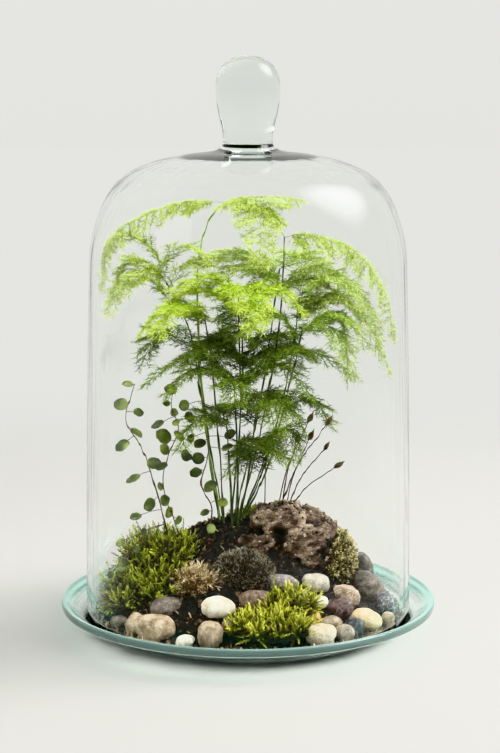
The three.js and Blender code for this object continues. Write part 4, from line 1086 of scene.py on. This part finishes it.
# Each fern stem: its colour, its points and its sprays as (rib, reach, habit). The first sprays are
# the ones the solids show, and the later ones fill the frond lower down the same stem.
FERNS = {
    "fern_top_left": (LIME, [(-19, 11), (-30, 9, 150), (-33.5, 8, 236), (-26, 7, 272), (-15, 5, 287)], [
        ([(-15, 5, 287), (-29, 3, 289), (-46, 1, 286), (-70, -4, 277), (-86, -6, 266), (-94, -7, 253),
          (-96, -8, 230)], 16, COMB),
        ([(-15, 5, 287), (-4, 2, 292), (10, -2, 293), (24, -5, 292), (36, -7, 289)], 14, COMB),
    ]),
    "fern_twin": (LIME, [(-6, 12), (8, 8, 130), (20, 5, 200), (24, 5, 264)], [
        ([(24, 5, 263), (17, 1, 280), (6, -6, 290), (-8, -14, 291), (-20, -24, 284)], 16, COMB),
        ([(24, 5, 263), (36, 4, 265), (62, 0, 259), (80, -3, 244), (91, -5, 222), (96.5, -6, 196)], 16, COMB),
        ([(13, -3, 286), (10, -10, 287), (8, -20, 276), (8, -29, 262), (7, -34, 248)], 21, HANGING),
    ]),
    "fern_left": (PALE, [(-20.5, 16), (-27, 15, 120), (-38, 14, 195), (-54, 13, 232)], [
        ([(-54, 13, 232), (-68, 12, 246), (-82, 11, 244), (-92, 9, 222)], 18, LOOSE),
        ([(-54, 13, 232), (-60, 9, 252), (-74, 5, 263), (-87, 2, 263), (-94, 0, 250), (-95, -2, 232)],
         12, PLUME),
        ([(-56, 12, 238), (-68, 2, 243), (-82, -6, 235), (-93, -12, 214)], 21, LOOSE),
        ([(-58, 11, 242), (-48, 6, 256), (-34, 0, 256), (-22, -4, 244)], 15, LOOSE),
        ([(-52, 13, 220), (-63, 6, 234), (-77, 0, 233), (-92, -6, 220)], 16, LOOSE),
        ([(-53, 13, 223), (-45, 8, 240), (-34, 2, 247), (-22, -4, 244)], 15, LOOSE),
    ]),
    "fern_front_left": (BRIGHT, [(-16, 6), (-19, 0, 120), (-24, -4, 180), (-28, -8, 212)], [
        ([(-28, -8, 212), (-38, -24, 222), (-48, -42, 221), (-57, -57, 206)], 18, DENSE),
        ([(-27, -8, 208), (-44, -10, 218), (-60, -12, 214), (-72, -14, 198)], 16, LOOSE),
        ([(-27, -8, 206), (-38, -18, 220), (-50, -28, 217), (-63, -36, 203)], 18, DENSE),
    ]),
    "fern_front": (BRIGHT, [(-9, 3), (-5, -3, 140), (-6, -8, 226)], [
        ([(-6, -8, 225), (-4, -26, 234), (0, -50, 231), (5, -74, 212)], 26, DENSE),
        ([(-6, -7, 212), (-22, -11, 228), (-40, -13, 230), (-56, -14, 216)], 20, DENSE),
        ([(-6, -8, 214), (8, -11, 228), (24, -14, 228), (38, -18, 214)], 20, DENSE),
        ([(-5, -8, 223), (-17, -14, 235), (-32, -20, 238), (-49, -26, 231)], 19, DENSE),
        ([(-5, -8, 215), (1, -24, 223), (6, -40, 222), (9, -54, 215)], 18, DENSE),
    ]),
    "fern_back_right": (FRESH, [(-8, 21), (8, 22, 150), (21, 27, 240)], [
        ([(21, 27, 239), (32, 44, 247), (44, 62, 241), (51, 78, 220)], 24, LOOSE),
        ([(19, 26, 222), (34, 20, 239), (52, 12, 242), (68, 4, 231)], 20, DENSE),
        ([(20, 26, 230), (4, 22, 248), (-14, 18, 252), (-34, 12, 244)], 22, DENSE),
        ([(19, 26, 222), (6, 12, 240), (-10, 0, 242), (-26, -8, 232)], 20, DENSE),
        ([(21, 24, 229), (9, 18, 243), (-13, 10, 249), (-38, 2, 248)], 20, DENSE),
        ([(21, 24, 225), (34, 18, 233), (49, 10, 232), (62, 2, 224)], 18, DENSE),
    ]),
    "fern_right": (FRESH, [(-3, 17), (12, 14, 110), (28, 13, 175), (34, 12, 222)], [
        ([(34, 12, 221), (50, 16, 236), (70, 21, 228), (85, 26, 202), (90, 28, 176)], 21, LOOSE),
        ([(33, 12, 208), (54, 8, 224), (78, 2, 208), (95, -2, 172)], 18, LOOSE),
        ([(34, 12, 216), (46, 0, 234), (60, -10, 236), (74, -16, 222)], 18, DENSE),
        ([(34, 10, 208), (46, 4, 222), (59, -4, 226), (73, -12, 217)], 19, DENSE),
        ([(32, 14, 205), (38, 26, 216), (46, 40, 215), (56, 52, 202)], 16, LOOSE),
    ]),
    "fern_front_right": (LEAF, [(-2, 8), (14, 1, 112), (30, -6, 178), (35, -8, 202)], [
        ([(35, -8, 201), (48, -20, 209), (60, -34, 199), (68, -46, 176)], 20, LOOSE),
        ([(34, -7, 196), (22, -12, 212), (8, -16, 212), (-6, -18, 200)], 18, DENSE),
        ([(35, -8, 199), (48, -14, 214), (63, -22, 211), (80, -28, 193)], 18, DENSE),
        ([(48, -14, 212), (59, -12, 212), (64, -14, 194), (65, -16, 167)], 12, LOOSE),
    ]),
    "fern_middle": (PAINTED_SHADE_GREENS, [(-7, -2), (-7, -9, 110), (-8.5, -16, 168)], [
        ([(-8.5, -16, 167), (-22, -22, 179), (-39, -29, 179), (-53, -38, 163)], 20, DENSE),
        ([(-8.5, -16, 167), (7, -19, 181), (25, -24, 180), (42, -33, 162)], 19, DENSE),
        ([(-8.5, -16, 164), (-9, -32, 176), (-9, -48, 175), (-8, -60, 162)], 20, DENSE),
        ([(-8, -16, 166), (9, -20, 179), (28, -24, 191), (46, -30, 190), (67, -36, 177)], 17, DENSE),
        ([(-8, -16, 166), (-25, -22, 188), (-45, -28, 185), (-68, -34, 170)], 16, DENSE),
    ]),
    "fern_back_left": (PAINTED_SHADE_GREENS, [(-17, 21), (-26, 26, 120), (-35, 32, 184)], [
        ([(-35, 32, 183), (-52, 42, 193), (-66, 54, 187), (-74, 62, 168)], 24, LOOSE),
        ([(-34, 31, 178), (-22, 22, 194), (-6, 14, 198), (10, 8, 188)], 22, DENSE),
    ]),
    "fern_back": (PAINTED_SHADE_GREENS, [(-12, 26), (-5, 30, 140), (-4, 35, 198)], [
        ([(-4, 35, 197), (-7, 52, 207), (-11, 72, 200), (-13, 88, 180)], 22, LOOSE),
        ([(-4, 34, 177), (10, 26, 194), (26, 16, 194), (40, 6, 180)], 22, DENSE),
        ([(-4, 34, 174), (-16, 24, 190), (-30, 12, 191), (-42, 2, 179)], 22, DENSE),
        ([(-4, 33, 171), (7, 24, 183), (21, 10, 185), (36, -4, 176)], 19, DENSE),
        ([(-4, 34, 172), (-11, 36, 186), (-24, 40, 189), (-38, 42, 182)], 18, DENSE),
        ([(-4, 34, 170), (14, 28, 184), (30, 29, 187), (46, 30, 178)], 17, DENSE),
        ([(-4, 33, 168), (-8, 20, 181), (-16, 4, 184), (-26, -12, 175)], 18, DENSE),
    ]),
    "fern_low_front": (PAINTED_SHADE_GREENS, [(-5, 5), (1, -3, 110), (6, -8, 156)], [
        ([(6, -8, 155), (11, -24, 165), (16, -42, 160), (20, -56, 144)], 20, DENSE),
        ([(5, -7, 150), (16, -10, 160), (28, -14, 154), (38, -18, 136)], 17, LOOSE),
        ([(4, -6, 138), (-4, 4, 150), (-14, 12, 148), (-24, 18, 134)], 20, DENSE),
        ([(2, -7, 140), (8, -18, 155), (18, -26, 158), (31, -32, 149)], 18, DENSE),
    ]),
    "fern_low_left": (PAINTED_SHADE_GREENS, [(-11, -2), (-12, -10, 110), (-14, -15, 142)], [
        ([(-14, -15, 141), (-25, -28, 150), (-36, -40, 146), (-44, -50, 130)], 18, LOOSE),
        ([(-12, -11, 118), (0, -18, 132), (13, -22, 130), (25, -26, 116)], 19, DENSE),
        ([(-13, -13, 137), (-18, -18, 151), (-26, -24, 152), (-34, -30, 143)], 14, LOOSE),
    ]),
    "fern_low_right": (PAINTED_SHADE_GREENS, [(-3, 24), (10, 27, 105), (22, 30, 142)], [
        ([(22, 30, 141), (35, 38, 150), (48, 46, 144), (58, 54, 126)], 20, LOOSE),
        ([(16, 28, 122), (24, 12, 134), (28, -2, 130), (30, -14, 114)], 18, DENSE),
        ([(10, 27, 106), (4, 14, 118), (-4, 2, 118), (-12, -8, 104)], 19, DENSE),
        ([(9, 26, 100), (5, -2, 122), (12, -12, 128), (24, -20, 120)], 16, DENSE),
    ]),
}

FERN_SLOTS = {LIME: "fern_lime", BRIGHT: "fern_lime", PALE: "fern_lime",
              FRESH: "fern_green", LEAF: "fern_green", PAINTED_SHADE_GREENS: "fern_dark"}
needle_greens = {}
# Old stems are dark and dull, and the youngest one is a fresh yellow green.
fern_stem = mottled("green_fern_stem", "#161F0E", "#3A4E20", "#76893C", 8, roughness=0.5, bump=0.1)
young_stem = mottled("young_fern_stem", "#48601A", "#7C9A30", "#A6C254", 8, roughness=0.5, bump=0.1)
for number, (node, (greens, points, sprays)) in enumerate(FERNS.items()):
    draw = random.Random(100 + number)
    if greens not in needle_greens:
        shade = "asparagus_needle_" + str(len(needle_greens) + 1)
        needle_greens[greens] = leafy(shade, *greens, 0.5, 0.4, 0.8)
    sketch = []
    for rib, reach, habit in sprays:
        spray_sketch(sketch, rib, reach, habit, draw)
    needles = sketch_piece(node + "_needles", sketch)
    # The young combs carry more needles, which stand out all round their twigs.
    knot, rise = (5, 1.0) if greens is LIME else (3, 0.55)
    use_tree(needles, needled_twigs, {"Material": needle_greens[greens], "Needles a knot": knot,
                                      "Rise and fall": rise, "Seed": 200 + number})
    place(needles, FERN_SLOTS[greens], node)
    skin = young_stem if node == "fern_top_left" else fern_stem
    place(joined(node + "_stem", [tube(stem_path(points, 14), (0.75, 0.45))], skin), "fern_green")


# Bell: one piece of blown clear glass, about 3 mm thick in its wall and 5 mm under the solid knob,
# drawn in over a round shoulder to a nearly flat crown. It stands on the plate by its own weight.
BELL_RADIUS = 108.2
BELL_FOOT = 14.8
CEILING = 313.9
KNOB_RADIUS = 21
TOTAL_HEIGHT = 380
bell_outline = [
    # Inside, from the middle of the ceiling down to the foot.
    *through([(0, CEILING), (22, CEILING - 0.2), (42, CEILING - 1), (62, CEILING - 6.2),
              (77.3, CEILING - 13.4), (86.8, CEILING - 22.2), (94.2, CEILING - 36.6),
              (99.8, CEILING - 56.6), (101.3, CEILING - 83.6), (103.2, 160), (104.6, 80),
              (105.1, 30), (105.2, 20), (105.4, 16.4), (105.9, 15.2)], 5),
    # Outside, from the foot up over the shoulder and the neck to the top of the knob.
    *through([(106.6, BELL_FOOT), (107.6, 15.4), (108.1, 16.8), (BELL_RADIUS, 20), (108.1, 30), (107.6, 80),
              (106.2, 160), (104.4, 230), (102.9, 258), (97.3, 279), (89.8, 294), (79.9, 303.8),
              (63.3, 311.5), (42, 316.7), (27, 318.6), (21, 319.6), (18.3, 321), (16.4, 323.2),
              (16.2, 325), (16.2, 328), (16.9, 334), (19.4, 344.4), (KNOB_RADIUS, 356), (20.2, 366.5),
              (15.6, 374.5), (8.4, 379), (0, TOTAL_HEIGHT)], 6),
]
bell_outline[0] = (0, CEILING)
bell_outline[-1] = (0, TOTAL_HEIGHT)
# Clean and almost colourless, with faint streaks down its wall, it is seen mostly by its edges.
bell_glass = glass("blown_clear_glass", "#FDFEFD", "#E6EEEA", 60, 0.28, waviness=0.12)
place(turned("blown_bell", bell_outline, 104, bell_glass), "bell_glass", "glass_bell")


# Studio: a plain pale floor that fades into a pale surround behind the object, and a large soft key
# light from the upper right. The surround is darker to the front, so the clear glass stays clear.
FLOOR_HALF = 6000


def surround_shade(tree, direction):
    """The surround's colour in a direction. What is seen is pale all round, as it is at the back.

    What lights the object, or is mirrored in the glass, is darker towards the front.
    """
    facing = add(tree, "ShaderNodeVectorMath", {0: direction, 1: (0, 0.6, 0.8)}, operation="DOT_PRODUCT")
    parts = add(tree, "ShaderNodeSeparateXYZ", {0: direction})
    level = add(tree, "ShaderNodeVectorMath", {0: direction, 1: (0.6, 0.6, 0)}, operation="MULTIPLY")
    sideways = add(tree, "ShaderNodeVectorMath", {0: level}, operation="LENGTH")
    evenly = add(tree, "ShaderNodeMath", {0: parts.outputs["Z"], 1: 0.8, 2: sideways.outputs["Value"]},
                 operation="MULTIPLY_ADD")
    ray = add(tree, "ShaderNodeLightPath")
    seen = add(tree, "ShaderNodeMath",
               {0: ray.outputs["Is Camera Ray"], 1: ray.outputs["Is Transmission Ray"]},
               operation="MAXIMUM")
    chosen = add(tree, "ShaderNodeMix", {0: seen, 2: facing.outputs["Value"], 3: evenly}, data_type="FLOAT")
    share = add(tree, "ShaderNodeMapRange", {0: chosen, 1: -1, 2: 1})
    return add(tree, "ShaderNodeValToRGB", {"Fac": share},
               stops=[(0.0, "#2E2F30"), (0.42, "#6C6E6E"), (0.72, "#E8E8E4"), (1.0, "#F4F4F1")]).outputs[0]


floor_corners = [(x * FLOOR_HALF, y * FLOOR_HALF, 0) for x, y in ((-1, -1), (1, -1), (1, 1), (-1, 1))]
floor_data = mesh_of("floor", floor_corners, [(0, 1, 2, 3)])
floor_material, floor_tree, floor_coords = new_material("pale_floor")
floor_place = add(floor_tree, "ShaderNodeSeparateXYZ", {0: floor_coords})
floor_back = add(floor_tree, "ShaderNodeMapRange", {0: floor_place.outputs["Y"], 1: 0.1, 2: 1.0},
                 interpolation_type="SMOOTHSTEP")
floor_reach = add(floor_tree, "ShaderNodeVectorMath", {0: floor_coords}, operation="LENGTH")
floor_round = add(floor_tree, "ShaderNodeMapRange", {0: floor_reach.outputs["Value"], 1: 1.0, 2: 4.0},
                  interpolation_type="SMOOTHSTEP")
floor_share = add(floor_tree, "ShaderNodeMath", {0: floor_back, 1: floor_round}, operation="MAXIMUM")
floor_way = add(floor_tree, "ShaderNodeVectorMath", {0: floor_coords}, operation="NORMALIZE")
floor_near = add(floor_tree, "ShaderNodeBsdfPrincipled",
                 {"Base Color": linear("#A9A8A4"), "Roughness": 0.6})
floor_far = add(floor_tree, "ShaderNodeEmission",
                {"Color": surround_shade(floor_tree, floor_way.outputs[0])})
floor_mixed = add(floor_tree, "ShaderNodeMixShader", {0: floor_share, 1: floor_near, 2: floor_far})
add(floor_tree, "ShaderNodeOutputMaterial", {"Surface": floor_mixed})
floor_data.materials.append(floor_material)
linked("floor", floor_data)

LIGHTS_AIM = Vector((0, 0, 0.16))


def soft_light(name, at, size, power, mirrored=False):
    """A round soft box (metres, watts), turned to the object. The glass mirrors it only if asked."""
    data = bpy.data.lights.new(name, "AREA")
    data.shape = "DISK"
    data.size = size
    data.energy = power
    made = linked(name, data)
    made.location = at
    made.rotation_euler = (LIGHTS_AIM - Vector(at)).to_track_quat("-Z", "Y").to_euler()
    made.visible_glossy = mirrored
    return data


# The key fades towards its edge, so that its mirror image on the bell is soft.
key = soft_light("key_soft_box", (1.33, 0.25, 1.6), 1.9, 58, mirrored=True)
key.use_nodes = True
key_tree = key.node_tree
key_tree.nodes.clear()
on_disc = add(key_tree, "ShaderNodeNewGeometry").outputs["Parametric"]
from_middle = add(key_tree, "ShaderNodeVectorMath", {0: on_disc, 1: (0.5, 0.5, 0)}, operation="DISTANCE")
fading = add(key_tree, "ShaderNodeMapRange",
             {0: from_middle.outputs["Value"], 1: 0.0, 2: 0.5, 3: 1.0, 4: 0.0})
squared = add(key_tree, "ShaderNodeMath", {0: fading, 1: 2.0}, operation="POWER")
strength = add(key_tree, "ShaderNodeMath", {0: squared, 1: 6.0}, operation="MULTIPLY")
beam = add(key_tree, "ShaderNodeEmission", {"Strength": strength})
add(key_tree, "ShaderNodeOutputLight", {"Surface": beam})
soft_light("top_soft_box", (0.35, -0.6, 1.9), 0.65, 26)
soft_light("fill_soft_box", (-1.6, -0.9, 1.2), 1.0, 9)

surround = bpy.data.worlds.new("pale_surround")
surround.use_nodes = True
sky = surround.node_tree
sky.nodes.clear()
sky_way = add(sky, "ShaderNodeTexCoord").outputs["Generated"]
glow = add(sky, "ShaderNodeBackground", {"Color": surround_shade(sky, sky_way)})
add(sky, "ShaderNodeOutputWorld", {"Surface": glow})
bpy.context.scene.world = surround
bpy.context.scene.view_settings.view_transform = "Khronos PBR Neutral"

# The camera stands where the photo's did: 1.3 m in front, a little above the bell's top.
camera_data = bpy.data.cameras.new("camera")
camera_data.lens = FOCAL_PIXELS / PHOTO_SIZE[1] * camera_data.sensor_width
camera = linked("camera", camera_data)
camera.location = CAMERA_AT * MM
camera.rotation_euler = (math.pi / 2 - CAMERA_PITCH, 0, 0)
bpy.context.scene.camera = camera
